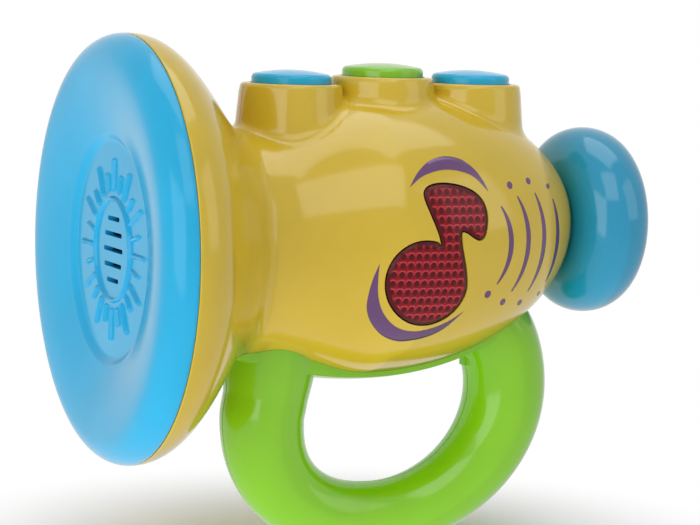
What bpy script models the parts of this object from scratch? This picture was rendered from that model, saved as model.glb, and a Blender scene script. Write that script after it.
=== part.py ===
"""Toy trumpet with a flared bell, three push keys, a lit note window and a ring handle.

Metres, +Z up. +X runs from the bell to the mouthpiece, +Y is the side away from the note window.
The origin is under the middle of the trumpet, level with the bottom of the handle.
A station is a distance along +X from the seam between the bell cap and the yellow body.
"""
import math

import bmesh
import bpy
from mathutils import Vector

# Driving dimensions of the whole trumpet
BELL_RADIUS = 0.070
CAP_DEPTH = 0.0095
FLARE_LENGTH = 0.0385
NECK_RADIUS = 0.0377
NECK_BAND_LENGTH = 0.0065
BELLY_STATION = 0.089
BELLY_BAND_LENGTH = 0.005
BELLY_RADIUS = 0.0471
BODY_LENGTH = 0.157
TAIL_OVERHANG = 0.005
MOUTH_THROAT_LENGTH = 0.014
MOUTH_RADIUS = 0.0324
MOUTH_LIP_DEPTH = 0.0119
MOUTH_RISE = 0.0081
HANDLE_DROP = 0.0931
HANDLE_GRIP_RADIUS = 0.0118
HANDLE_LEG_RADIUS = 0.0143

# Walls and fits that all the mouldings share
WALL = 0.0024
GAP = 0.0003
OVERRUN = 0.004
FLARE_POWER_SHARE = 1.2
FLARE_END_SHARE = 0.97
SLOPE_STEP_SHARE = 0.005

# Facets round the turned pieces
CAP_FACETS = 36
BODY_FACETS = 28
LARGE_FACETS = 24
KEY_FACETS = 24
MEDIUM_FACETS = 20
SMALL_FACETS = 8

TAIL_LENGTH = BODY_LENGTH + TAIL_OVERHANG - BELLY_STATION
MOUTH_STATION = BODY_LENGTH + MOUTH_THROAT_LENGTH
SEAM_X = CAP_DEPTH - (CAP_DEPTH + MOUTH_STATION + MOUTH_LIP_DEPTH) / 2
AXIS_Z = HANDLE_DROP + HANDLE_GRIP_RADIUS
REACH = BELL_RADIUS + OVERRUN


def clear_scene():
    for old in list(bpy.data.objects):
        bpy.data.objects.remove(old)


def at(station, y, z):
    """A point given by its station, its side offset and its height over the bell's axis."""
    return Vector((SEAM_X + station, y, AXIS_Z + z))


def finish_material(name, colour, roughness, metallic=0.0):
    """One Principled material, made once for each finish."""
    material = bpy.data.materials.get(name)
    if material is None:
        material = bpy.data.materials.new(name)
        material.use_nodes = True
        shader = material.node_tree.nodes["Principled BSDF"]
        shader.inputs["Base Color"].default_value = (*colour, 1.0)
        shader.inputs["Roughness"].default_value = roughness
        shader.inputs["Metallic"].default_value = metallic
    return material


FINISHES = {
    "yellow_plastic": ((0.86, 0.64, 0.13), 0.25, 0.0),
    "blue_plastic": ((0.05, 0.50, 0.80), 0.22, 0.0),
    "green_plastic": ((0.28, 0.72, 0.06), 0.22, 0.0),
    "red_lens": ((0.60, 0.01, 0.03), 0.08, 0.0),
    "white_plastic": ((0.85, 0.85, 0.82), 0.45, 0.0),
    "black_plastic": ((0.03, 0.03, 0.03), 0.45, 0.0),
    "board": ((0.05, 0.25, 0.10), 0.50, 0.0),
    "steel": ((0.62, 0.62, 0.64), 0.30, 1.0),
    "magnet": ((0.12, 0.12, 0.13), 0.40, 1.0),
    "paper_cone": ((0.07, 0.07, 0.07), 0.85, 0.0),
    "cell_wrap": ((0.15, 0.16, 0.18), 0.35, 0.0),
    "red_wire": ((0.60, 0.02, 0.02), 0.50, 0.0),
    "black_wire": ((0.02, 0.02, 0.02), 0.50, 0.0),
    "lamp": ((0.90, 0.20, 0.15), 0.10, 0.0),
}


def mesh_object(name, bm):
    """A new object from a bmesh, with its faces turned outward and its round faces shaded smooth."""
    bmesh.ops.recalc_face_normals(bm, faces=bm.faces)
    mesh = bpy.data.meshes.new(name)
    bm.to_mesh(mesh)
    bm.free()
    mesh.shade_smooth()
    mesh.set_sharp_from_angle(angle=math.radians(35))
    made = bpy.data.objects.new(name, mesh)
    bpy.context.scene.collection.objects.link(made)
    return made


def part(made, finish):
    """Gives a kept object its finish."""
    made.data.materials.clear()
    made.data.materials.append(finish_material(finish, *FINISHES[finish]))
    return made


def helper(made):
    """Marks an object as a cutter or a guide that isn't a piece of the trumpet."""
    made.hide_render = True
    made.display_type = "WIRE"
    return made


def combine(made, other, operation, solver):
    modifier = made.modifiers.new(operation.lower(), "BOOLEAN")
    modifier.operation = operation
    modifier.solver = solver
    modifier.object = helper(other)
    return made


def cut(made, *cutters, solver="EXACT"):
    for cutter in cutters:
        combine(made, cutter, "DIFFERENCE", solver)
    return made


def join(made, *others, solver="EXACT"):
    for other in others:
        combine(made, other, "UNION", solver)
    return made


def keep_inside(made, limit, solver="EXACT"):
    return combine(made, limit, "INTERSECT", solver)


def box(name, low, high):
    """A box between two opposite corners."""
    bm = bmesh.new()
    bmesh.ops.create_cube(bm, size=1)
    centre = (low + high) / 2
    size = high - low
    for vert in bm.verts:
        vert.co = Vector([centre[i] + vert.co[i] * size[i] for i in range(3)])
    return mesh_object(name, bm)


def turned(name, profile, origin, axis, facets):
    """A profile of (radius, place along the axis) pairs spun round an axis through the origin.

    The profile is a closed loop, or starts and ends on the axis.
    """
    along = {"X": Vector((1, 0, 0)), "Y": Vector((0, 1, 0)), "Z": Vector((0, 0, 1))}[axis]
    outward = {"X": Vector((0, 0, 1)), "Y": Vector((0, 0, 1)), "Z": Vector((1, 0, 0))}[axis]
    bm = bmesh.new()
    points = [bm.verts.new(outward * radius + along * place) for radius, place in profile]
    pairs = list(zip(points, points[1:]))
    if profile[0][0] > 0 or profile[-1][0] > 0:
        pairs.append((points[-1], points[0]))
    edges = [bm.edges.new(pair) for pair in pairs]
    bmesh.ops.spin(
        bm,
        geom=points + edges,
        cent=(0, 0, 0),
        axis=along,
        dvec=(0, 0, 0),
        angle=math.tau,
        steps=facets,
        use_merge=True,
    )
    bmesh.ops.remove_doubles(bm, verts=bm.verts, dist=GAP / 100)
    for vert in bm.verts:
        vert.co += origin
    return mesh_object(name, bm)


def rod(name, radius, low, high, axis, facets=SMALL_FACETS):
    """A plain round bar from one point to another along an axis."""
    length = (high - low).length
    return turned(name, [(0, 0), (radius, 0), (radius, length), (0, length)], low, axis, facets)


def arc(centre, radii, first, last, steps):
    """Points of an elliptical arc, angles in degrees from the first coordinate's direction."""
    points = []
    for i in range(steps + 1):
        angle = math.radians(first + (last - first) * i / steps)
        points.append((centre[0] + radii[0] * math.cos(angle), centre[1] + radii[1] * math.sin(angle)))
    return points


def loft(name, rings):
    """A closed solid through equal rings of points, with flat ends."""
    bm = bmesh.new()
    rows = [[bm.verts.new(point) for point in ring] for ring in rings]
    count = len(rows[0])
    for lower, upper in zip(rows, rows[1:]):
        for i in range(count):
            j = (i + 1) % count
            bm.faces.new((lower[i], lower[j], upper[j], upper[i]))
    bm.faces.new(rows[0])
    bm.faces.new(rows[-1])
    return mesh_object(name, bm)


def prism(name, outline, low_y, high_y):
    """An outline of (station, height) points carried along Y."""
    return loft(name, [[at(s, y, z) for s, z in outline] for y in (low_y, high_y)])


def plate(name, outline, stations):
    """An outline of (side offset, height) points carried along X between two stations."""
    return loft(name, [[at(s, y, z) for y, z in outline] for s in stations])


# Yellow body

TOWER_COUNT = 3
TOWER_FIRST_STATION = 0.0581
TOWER_SPACING = 0.0334
TOWER_RADIUS = 0.0171
MIDDLE_TOWER_RADIUS = 0.0174
TOWER_HEIGHT = 0.0546
TOWER_CLIMB = 0.0004
MIDDLE_TOWER_RISE = 0.0023
TOWER_TAPER_SHARE = 0.09
TOWER_EDGE = 0.0015
TOWER_TOP_WALL = 0.0020
KEY_RADIUS = 0.0133
MIDDLE_KEY_RADIUS = 0.01365
KEY_CLEARANCE = 0.0003
SCREW_RADIUS = 0.0015
SCREW_HEAD_RADIUS = 0.0029
SCREW_HEAD_HEIGHT = 0.0020
SCREW_LENGTH = 0.0240
SCREW_BOSS_WALL = 0.0024
SCREW_DIMPLE_SHARE = 0.8
SCREW_HEAD_SEAT = 0.0140
FLARE_SCREW_STATION = 0.0330
FLARE_SCREW_OFFSET = 0.0240
TAIL_SCREW_INSET = 0.0180
TAIL_SCREW_OFFSET = 0.0190
FLARE_STEPS = 7
SHOULDER_STEPS = 5
TAIL_STEPS = 7


def axis_rise(station):
    """Height of the body's centre line, which climbs evenly from the bell to the mouthpiece."""
    return MOUTH_RISE * station / MOUTH_STATION


def ease(share):
    """A smooth step from 0 to 1, level at both of its ends."""
    return share * share * (3 - 2 * share)


def shoulder_start():
    return FLARE_LENGTH + NECK_BAND_LENGTH


def shoulder_end():
    return BELLY_STATION - BELLY_BAND_LENGTH


def body_radius(station):
    """A flare that ends in a faint crease, a straight neck, a smooth shoulder and an elliptic tail."""
    if station <= FLARE_LENGTH:
        share = (max(station, 0) / FLARE_LENGTH) ** FLARE_POWER_SHARE * FLARE_END_SHARE
        return BELL_RADIUS + (NECK_RADIUS - BELL_RADIUS) * ease(share) / ease(FLARE_END_SHARE)
    if station <= BELLY_STATION:
        share = (station - shoulder_start()) / (shoulder_end() - shoulder_start())
        return NECK_RADIUS + (BELLY_RADIUS - NECK_RADIUS) * ease(min(max(share, 0), 1))
    share = (station - BELLY_STATION) / TAIL_LENGTH
    return BELLY_RADIUS * math.sqrt(max(1 - share * share, 0))


def saddle_radius(station):
    """The underside that the ring handle's saddle follows, which bridges the dip of the neck."""
    if station >= BELLY_STATION:
        return body_radius(station)
    share = (BELLY_STATION - station) / (BELLY_STATION - FLARE_LENGTH)
    return BELLY_RADIUS + (NECK_RADIUS - BELLY_RADIUS) * share * share


def body_tilt(station, radius_at=body_radius):
    """Angle of the body's side at a station, as the slope between two places close to it."""
    step = FLARE_LENGTH * SLOPE_STEP_SHARE
    before = max(station - step, 0)
    return math.atan((radius_at(station + step) - radius_at(before)) / (station + step - before))


def inner_radius(station):
    """Radius of the body's inside wall at a station."""
    return body_radius(station) - WALL / math.cos(body_tilt(station))


def body_stations():
    stations = [FLARE_LENGTH * i / FLARE_STEPS for i in range(FLARE_STEPS + 1)]
    shoulder = shoulder_end() - shoulder_start()
    stations += [shoulder_start() + shoulder * i / SHOULDER_STEPS for i in range(SHOULDER_STEPS + 1)]
    last = math.asin((BODY_LENGTH - BELLY_STATION) / TAIL_LENGTH)
    stations += [BELLY_STATION + TAIL_LENGTH * math.sin(last * i / TAIL_STEPS) for i in range(TAIL_STEPS + 1)]
    return stations


def body_solid(name, offset, front, back, facets=BODY_FACETS, radius_at=body_radius):
    """A form round the body's centre line grown by an offset along its own normals, between two stations."""
    profile = []
    for station in body_stations():
        tilt = body_tilt(station, radius_at)
        place = station - offset * math.sin(tilt)
        radius = radius_at(station) + offset * math.cos(tilt)
        if front + GAP < place < back - GAP:
            profile.append((place, radius))
    profile.insert(0, (front, profile[0][1]))
    profile.append((back, profile[-1][1]))
    rings = []
    for place, radius in profile:
        centre = axis_rise(max(place, 0))
        turns = [math.tau * (i + 0.5) / facets for i in range(facets)]
        rings.append([at(place, radius * math.sin(a), centre + radius * math.cos(a)) for a in turns])
    return loft(name, rings)


def tower_station(index):
    return TOWER_FIRST_STATION + TOWER_SPACING * index


def tower_is_middle(index):
    return index == TOWER_COUNT // 2


def tower_top(index):
    """The towers climb a little toward the mouthpiece, and the middle one stands over its neighbours."""
    return TOWER_HEIGHT + TOWER_CLIMB * index + (MIDDLE_TOWER_RISE if tower_is_middle(index) else 0)


def tower_radius(index):
    return MIDDLE_TOWER_RADIUS if tower_is_middle(index) else TOWER_RADIUS


def key_radius(index):
    return MIDDLE_KEY_RADIUS if tower_is_middle(index) else KEY_RADIUS


def tower_solid(name, index, inset):
    """A tapered round tower that stands on the body, drawn in by an inset for its hollow."""
    top = tower_top(index) - (TOWER_TOP_WALL if inset else 0)
    foot = axis_rise(tower_station(index))
    height = top - foot
    radius = tower_radius(index) - inset
    edge = 0 if inset else TOWER_EDGE
    profile = [(0, 0), (radius + TOWER_TAPER_SHARE * height, 0)]
    if edge:
        profile += arc((radius - edge, height - edge), (edge, edge), 0, 90, 3)
    else:
        profile += [(radius, height)]
    profile += [(0, height)]
    return turned(name, profile, at(tower_station(index), 0, foot), "Z", LARGE_FACETS)


def case_screw_places():
    """Station and height of each of the four screws that hold the two halves of the body."""
    places = []
    tail_station = BODY_LENGTH - TAIL_SCREW_INSET
    for station, offset in ((FLARE_SCREW_STATION, FLARE_SCREW_OFFSET), (tail_station, TAIL_SCREW_OFFSET)):
        for side in (-1, 1):
            places.append((station, axis_rise(station) + side * offset))
    return places


def case_boss_radius():
    return SCREW_HEAD_RADIUS + GAP + SCREW_BOSS_WALL


def screw_hole(name, station, z, seat, length):
    """The bore for one screw along Y, wide from its head's seat outward on the far side."""
    bore = SCREW_RADIUS + GAP
    tip = seat - length - GAP
    wide = SCREW_HEAD_RADIUS + GAP
    profile = [(0, tip), (bore, tip), (bore, seat), (wide, seat), (wide, REACH), (0, REACH)]
    return turned(name, profile, at(station, 0, z), "Y", SMALL_FACETS)


def screw(name, station, z, seat, length):
    """A pan-head screw along Y with a crossed recess's plain dimple in its head."""
    top = seat + GAP + SCREW_HEAD_HEIGHT
    dimple = SCREW_RADIUS * SCREW_DIMPLE_SHARE
    profile = [(0, seat - length), (SCREW_RADIUS, seat - length + SCREW_RADIUS)]
    profile += [(SCREW_RADIUS, seat + GAP), (SCREW_HEAD_RADIUS, seat + GAP)]
    profile += arc(
        (SCREW_HEAD_RADIUS / 2, top - SCREW_HEAD_HEIGHT / 2),
        (SCREW_HEAD_RADIUS / 2, SCREW_HEAD_HEIGHT / 2),
        0,
        90,
        2,
    )
    profile += [(dimple, top), (dimple / 2, top - SCREW_HEAD_HEIGHT / 2), (0, top - SCREW_HEAD_HEIGHT / 2)]
    return part(turned(name, profile, at(station, 0, z), "Y", SMALL_FACETS), "steel")


# Bell cap

CAP_LIP_WIDTH = 0.0090
CAP_LIP_FACE = 0.0008
CAP_DISH_RADIUS = 0.0367
CAP_DISH_DEPTH = 0.0052
CAP_STEP = 0.0012
CAP_COLLAR_DEPTH = 0.0050
CAP_COLLAR_CLEARANCE = 0.0010
CAP_COLLAR_WALL = 0.0020
CAP_SLOPE_SHARES = ((0.25, 0.32), (0.50, 0.66), (0.75, 0.90))
CAP_INNER_SLOPE_SHARE = 0.60


def cap_dish_edge():
    """Station of the foot of the slope that runs from the lip down to the cap's flat middle."""
    return -CAP_DEPTH + CAP_DISH_DEPTH


def cap_floor_front():
    return cap_dish_edge() + CAP_STEP


def cap_floor_back():
    return cap_floor_front() + WALL


def cap_profile():
    """The cap's section from its middle, out over the lip and back along its inside."""
    seam = -GAP / 2
    lip_radius = BELL_RADIUS - CAP_LIP_WIDTH
    front = [(0, cap_floor_front()), (CAP_DISH_RADIUS - CAP_STEP, cap_floor_front())]
    front.append((CAP_DISH_RADIUS, cap_dish_edge()))
    slope_end = lip_radius - CAP_LIP_FACE
    for share, rise_share in CAP_SLOPE_SHARES:
        radius = CAP_DISH_RADIUS + (slope_end - CAP_DISH_RADIUS) * share
        front.append((radius, cap_dish_edge() - CAP_DISH_DEPTH * rise_share))
    front.append((slope_end, -CAP_DEPTH))
    front += [(r, -s) for r, s in arc((lip_radius, -seam), (CAP_LIP_WIDTH, CAP_DEPTH + seam), 90, 0, 5)]
    collar = inner_radius(CAP_COLLAR_DEPTH) - CAP_COLLAR_CLEARANCE
    back = [(collar, seam), (collar, CAP_COLLAR_DEPTH), (collar - CAP_COLLAR_WALL, CAP_COLLAR_DEPTH)]
    back += [(collar - CAP_COLLAR_WALL, seam - WALL), (lip_radius, WALL - CAP_DEPTH)]
    middle = (lip_radius + CAP_DISH_RADIUS) / 2
    back.append((middle, cap_dish_edge() + WALL - CAP_DISH_DEPTH * CAP_INNER_SLOPE_SHARE))
    back += [(CAP_DISH_RADIUS, cap_dish_edge() + WALL), (CAP_DISH_RADIUS - CAP_STEP, cap_floor_back())]
    pocket = [(pocket_radius(), cap_floor_back()), (pocket_radius(), pocket_back())]
    pocket += [(SPEAKER_RADIUS + GAP, pocket_back()), (SPEAKER_RADIUS + GAP, cap_floor_back())]
    return front + back + pocket + [(0, cap_floor_back())]


# Speaker

SPEAKER_RADIUS = 0.0250
SPEAKER_FLANGE = 0.0015
SPEAKER_FLANGE_WIDTH = 0.0030
SPEAKER_DEPTH = 0.0100
SPEAKER_NECK_RADIUS = 0.0115
SPEAKER_SHEET = 0.0010
SPEAKER_MAGNET_RADIUS = 0.0140
SPEAKER_MAGNET_DEPTH = 0.0070
SPEAKER_COIL_RADIUS = 0.0060
SPEAKER_COIL_DEPTH = 0.0030
SPEAKER_DOME_RISE = 0.0015
POCKET_WALL = 0.0020
RETAINER_DEPTH = 0.0018
RETAINER_SCREWS = 3
RETAINER_SCREW_RADIUS = 0.0011
RETAINER_SCREW_LENGTH = 0.0045
RETAINER_HEAD_RADIUS = 0.0020
RETAINER_HEAD_HEIGHT = 0.0013
RETAINER_POST_RADIUS = 0.0032
SOUND_SLOT_WIDTH = 0.0022
SOUND_SLOT_LENGTH = 0.0150
SOUND_SLOT_PLACE_SHARES = (
    (-0.02, 0.42, 24),
    (-0.12, 0.02, -28),
    (0.28, -0.34, -32),
    (-0.32, -0.36, 30),
    (0.52, 0.16, 80),
)


def speaker_front():
    return cap_floor_back() + GAP


def pocket_radius():
    return SPEAKER_RADIUS + GAP + POCKET_WALL


def pocket_back():
    return speaker_front() + SPEAKER_FLANGE


def retainer_screw_places():
    """Side offset and height of each screw round the speaker, the first one straight up."""
    spread = pocket_radius() + RETAINER_POST_RADIUS / 2
    turns = [math.tau * i / RETAINER_SCREWS for i in range(RETAINER_SCREWS)]
    return [(spread * math.sin(a), spread * math.cos(a)) for a in turns]


def retainer_screw_seat():
    """Station of the faces that the speaker's screw heads press on."""
    return pocket_back() + GAP + RETAINER_DEPTH + GAP


def make_bell_cap():
    """The front cap with the speaker's pocket, its screw posts and the slots that let the sound out."""
    cap = turned("bell_cap", cap_profile(), at(0, 0, 0), "X", CAP_FACETS)
    places = retainer_screw_places()
    start = cap_floor_back() - WALL / 2
    for index, (y, z) in enumerate(places):
        ends = (at(start, y, z), at(pocket_back() - GAP, y, z))
        join(cap, rod(f"post_form_{index}", RETAINER_POST_RADIUS, *ends, "X"))
    tip = retainer_screw_seat() - RETAINER_SCREW_LENGTH - GAP
    for index, (y, z) in enumerate(places):
        ends = (at(tip, y, z), at(pocket_back() + OVERRUN, y, z))
        cut(cap, rod(f"post_bore_{index}", RETAINER_SCREW_RADIUS + GAP, *ends, "X"))
    for index, (y_share, z_share, turn) in enumerate(SOUND_SLOT_PLACE_SHARES):
        centre = (y_share * SPEAKER_RADIUS, z_share * SPEAKER_RADIUS)
        outline = slot_outline(centre, SOUND_SLOT_LENGTH, SOUND_SLOT_WIDTH, turn)
        stations = (-CAP_DEPTH - OVERRUN, cap_floor_back() + OVERRUN)
        cut(cap, plate(f"sound_slot_{index}", outline, stations))
    part(cap, "blue_plastic")


def slot_outline(centre, length, width, turn):
    """A round-ended slot's (side offset, height) points, turned by an angle in degrees."""
    half = (length - width) / 2
    ends = (width / 2, width / 2)
    outline = arc((half, 0), ends, -90, 90, 2) + arc((-half, 0), ends, 90, 270, 2)
    cos, sin = math.cos(math.radians(turn)), math.sin(math.radians(turn))
    return [(centre[0] + y * cos - z * sin, centre[1] + y * sin + z * cos) for y, z in outline]


def make_speaker():
    """The speaker's basket, its cone with dust cap and coil, its magnet, and the ring that holds it."""
    front = speaker_front()
    back = front + SPEAKER_DEPTH
    flange_inner = SPEAKER_RADIUS - SPEAKER_FLANGE_WIDTH
    coil_bore = SPEAKER_COIL_RADIUS + GAP
    frame = [(flange_inner, front), (SPEAKER_RADIUS, front), (SPEAKER_RADIUS, front + SPEAKER_FLANGE)]
    frame.append((flange_inner + SPEAKER_SHEET, front + SPEAKER_FLANGE))
    frame += [(SPEAKER_NECK_RADIUS + SPEAKER_SHEET, back), (coil_bore, back)]
    frame += [(coil_bore, back - SPEAKER_SHEET), (SPEAKER_NECK_RADIUS, back - SPEAKER_SHEET)]
    frame.append((flange_inner, front + SPEAKER_FLANGE))
    part(turned("speaker_frame", frame, at(0, 0, 0), "X", MEDIUM_FACETS), "steel")
    rim = flange_inner - GAP
    deep = back - SPEAKER_COIL_DEPTH
    cone = [(0, deep - SPEAKER_SHEET - SPEAKER_DOME_RISE), (SPEAKER_COIL_RADIUS, deep - SPEAKER_SHEET)]
    cone += [(rim, front), (rim, front + SPEAKER_SHEET), (SPEAKER_COIL_RADIUS, deep)]
    cone += [(SPEAKER_COIL_RADIUS, back - GAP), (0, back - GAP)]
    part(turned("speaker_cone", cone, at(0, 0, 0), "X", MEDIUM_FACETS), "paper_cone")
    ends = (at(back + GAP, 0, 0), at(back + GAP + SPEAKER_MAGNET_DEPTH, 0, 0))
    part(rod("speaker_magnet", SPEAKER_MAGNET_RADIUS, *ends, "X", MEDIUM_FACETS), "magnet")
    low = pocket_back() + GAP
    high = low + RETAINER_DEPTH
    inner, outer = flange_inner + SPEAKER_SHEET + 2 * GAP, pocket_radius() + RETAINER_POST_RADIUS
    outline = [(inner, low), (outer, low), (outer, high), (inner, high)]
    ring = turned("speaker_retainer", outline, at(0, 0, 0), "X", LARGE_FACETS)
    places = retainer_screw_places()
    for index, (y, z) in enumerate(places):
        ends = (at(low - OVERRUN, y, z), at(high + OVERRUN, y, z))
        cut(ring, rod(f"retainer_bore_{index}", RETAINER_SCREW_RADIUS + GAP, *ends, "X"))
    part(ring, "white_plastic")
    seat = retainer_screw_seat()
    top = seat + RETAINER_HEAD_HEIGHT
    tip = seat - RETAINER_SCREW_LENGTH
    profile = [(0, tip), (RETAINER_SCREW_RADIUS, tip), (RETAINER_SCREW_RADIUS, seat)]
    profile += [(RETAINER_HEAD_RADIUS, seat), (RETAINER_HEAD_RADIUS, top), (0, top)]
    for index, (y, z) in enumerate(places):
        name = f"speaker_screw_{index + 1}"
        part(turned(name, profile, at(0, y, z), "X", SMALL_FACETS), "steel")


# Mouthpiece

MOUTH_NECK_RADIUS = 0.0130
MOUTH_BORE_RADIUS = 0.0104
MOUTH_FLANGE_RADIUS = 0.0160
MOUTH_FLANGE_DEPTH = 0.0022
MOUTH_LIP_WIDTH = 0.0093
MOUTH_CUP_DEPTH = 0.0150
MOUTH_BOWL_SHARES = ((0.26, 0.01), (0.50, 0.04), (0.69, 0.16), (0.84, 0.36), (0.95, 0.64))
MOUTH_CUP_SHARES = ((0.93, 0.05), (0.76, 0.30), (0.60, 0.68), (0.42, 0.93), (0.0, 1.0))


def neck_flange_back():
    """Station of the neck flange's face against the inside of the body's end wall."""
    return BODY_LENGTH - WALL - 2 * GAP


def make_mouthpiece():
    """A round bowl with a rolled lip, whose flanged neck is trapped in the body's end wall."""
    neck_end = BODY_LENGTH + GAP
    flange_front = neck_flange_back() - MOUTH_FLANGE_DEPTH
    lip_inner = MOUTH_RADIUS - MOUTH_LIP_WIDTH
    front = MOUTH_STATION + MOUTH_LIP_DEPTH
    floor_front = front - MOUTH_CUP_DEPTH
    floor_back = floor_front - WALL
    profile = [(0, floor_back), (MOUTH_BORE_RADIUS, floor_back), (MOUTH_BORE_RADIUS, flange_front)]
    profile += [(MOUTH_FLANGE_RADIUS, flange_front), (MOUTH_FLANGE_RADIUS, neck_flange_back())]
    profile += [(MOUTH_NECK_RADIUS, neck_flange_back()), (MOUTH_NECK_RADIUS, neck_end)]
    for width_share, length_share in MOUTH_BOWL_SHARES:
        radius = MOUTH_NECK_RADIUS + (MOUTH_RADIUS - MOUTH_NECK_RADIUS) * width_share
        profile.append((radius, neck_end + (MOUTH_STATION - neck_end) * length_share))
    profile += arc((lip_inner, MOUTH_STATION), (MOUTH_LIP_WIDTH, MOUTH_LIP_DEPTH), 0, 90, 7)
    for radius_share, depth_share in MOUTH_CUP_SHARES:
        profile.append((lip_inner * radius_share, front - MOUTH_CUP_DEPTH * depth_share))
    part(turned("mouthpiece", profile, at(0, 0, MOUTH_RISE), "X", LARGE_FACETS), "blue_plastic")


# Ring handle

LEG_STATION = 0.0511
HANDLE_TAIL_INSET = 0.0147
BOTTOM_STATION = 0.0920
LEG_FOOT = -0.0500
LEG_TOP = -0.0300
LEG_LEAN = 0.0020
LEG_ROOT_GROWTH = 0.0028
LEG_BOW = 0.0004
LEG_BOW_DROP = 0.0070
HOOK_WIDTH = 0.0220
HOOK_HEIGHT = 0.0300
HOOK_TURN = 62
LEFT_CORNER_POWER_SHARE = 2.28
RIGHT_CORNER_POWER_SHARE = 1.97
SADDLE_THICKNESS = 0.0015
SADDLE_WIDTH = 0.0270
SADDLE_LEAD = 0.0008
SADDLE_TAIL = 0.0050
PEG_RADIUS = 0.0050
PEG_FLANGE_RADIUS = 0.0068
PEG_FLANGE_HEIGHT = 0.0018
HOOK_PEG_INSET = 0.0123
HANDLE_SCREW_SEAT = 0.0050
HANDLE_SCREW_LENGTH = 0.0130
CORNER_STEPS = 7
HANDLE_FACETS = 18
HANDLE_HOLLOW_FACETS = 12

HANDLE_SPAN = BODY_LENGTH - HANDLE_TAIL_INSET - LEG_STATION
HOOK_PEG_STATION = LEG_STATION + HANDLE_SPAN - HOOK_PEG_INSET


def corner(share, width, height, power):
    """A quarter of a superellipse, from its side at share 0 to its bottom at share 1."""
    turn = share * math.pi / 2
    return width * math.cos(turn) ** (2 / power), height * math.sin(turn) ** (2 / power)


def handle_path():
    """(station, height) points of the ring's centre line from the near leg round to the hooked leg.

    The near leg leans a little from its root out to the ring's widest place, below the leg's foot.
    """
    side_station = LEG_STATION - LEG_BOW
    side_height = LEG_FOOT - LEG_BOW_DROP
    left_width = BOTTOM_STATION - side_station
    right_width = LEG_STATION + HANDLE_SPAN - BOTTOM_STATION
    path = [(LEG_STATION + LEG_LEAN, LEG_TOP), (LEG_STATION + LEG_LEAN / 2, LEG_FOOT)]
    for i in range(CORNER_STEPS + 1):
        x, z = corner(i / CORNER_STEPS, left_width, HANDLE_DROP + side_height, LEFT_CORNER_POWER_SHARE)
        path.append((BOTTOM_STATION - x, side_height - z))
    for i in range(CORNER_STEPS - 1, -1, -1):
        x, z = corner(i / CORNER_STEPS, right_width, HANDLE_DROP + LEG_FOOT, RIGHT_CORNER_POWER_SHARE)
        path.append((BOTTOM_STATION + x, LEG_FOOT - z))
    hook_station = LEG_STATION + HANDLE_SPAN - HOOK_WIDTH
    path += arc((hook_station, LEG_FOOT), (HOOK_WIDTH, HOOK_HEIGHT), HOOK_TURN / 5, HOOK_TURN, 4)
    return path


def handle_radius(station, z):
    """The ring is thinnest at the grip, and the near leg spreads further at its root."""
    share = min(max((z + HANDLE_DROP) / (LEG_FOOT + HANDLE_DROP), 0), 1)
    radius = HANDLE_GRIP_RADIUS + (HANDLE_LEG_RADIUS - HANDLE_GRIP_RADIUS) * share * (2 - share)
    if station < BOTTOM_STATION and z > LEG_FOOT:
        radius += LEG_ROOT_GROWTH * (z - LEG_FOOT) / (LEG_TOP - LEG_FOOT)
    return radius


def handle_tube(name, inset, facets):
    """The ring's round bar, drawn in by an inset for its hollow."""
    path = handle_path()
    turns = [math.tau * (k + 0.5) / facets for k in range(facets)]
    rings = []
    for i, (s, z) in enumerate(path):
        before, after = path[max(i - 1, 0)], path[min(i + 1, len(path) - 1)]
        across = Vector((before[1] - after[1], 0, after[0] - before[0])).normalized()
        aside = Vector((0, 1, 0))
        radius = handle_radius(s, z) - inset
        rings.append([at(s, 0, z) + (across * math.cos(a) + aside * math.sin(a)) * radius for a in turns])
    return loft(name, rings)


def body_bottom(station, offset=0):
    return axis_rise(station) - body_radius(station) - offset


def peg_sizes(station):
    """Foot and flange heights of the peg that locks one end of the ring inside the body."""
    foot = min(body_bottom(station - PEG_RADIUS), body_bottom(station + PEG_RADIUS)) - WALL
    inner = []
    for side in (station - PEG_FLANGE_RADIUS, station + PEG_FLANGE_RADIUS):
        radius = inner_radius(side)
        inner.append(axis_rise(side) - math.sqrt(radius * radius - PEG_FLANGE_RADIUS * PEG_FLANGE_RADIUS))
    flange = max(inner) + GAP
    return foot, flange


def peg_stations():
    return LEG_STATION, HOOK_PEG_STATION


def handle_peg(name, station):
    foot, flange = peg_sizes(station)
    top = flange + PEG_FLANGE_HEIGHT
    profile = [(0, foot), (PEG_RADIUS, foot), (PEG_RADIUS, flange), (PEG_FLANGE_RADIUS, flange)]
    profile += [(PEG_FLANGE_RADIUS, top), (0, top)]
    return turned(name, profile, at(station, 0, 0), "Z", SMALL_FACETS)


def handle_screw_places():
    return (
        (LEG_STATION, LEG_FOOT),
        (BOTTOM_STATION, -HANDLE_DROP),
        (LEG_STATION + HANDLE_SPAN, LEG_FOOT),
    )


def half_space(name, side):
    """Everything on one side of the trumpet's middle plane; side is -1 for near and 1 for far."""
    far_corner = at(MOUTH_STATION, side * REACH, REACH)
    near_corner = at(-CAP_DEPTH - OVERRUN, side * GAP / 2, -AXIS_Z - OVERRUN)
    low = Vector([min(a, b) for a, b in zip(near_corner, far_corner)])
    high = Vector([max(a, b) for a, b in zip(near_corner, far_corner)])
    return box(name, low, high)


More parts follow.
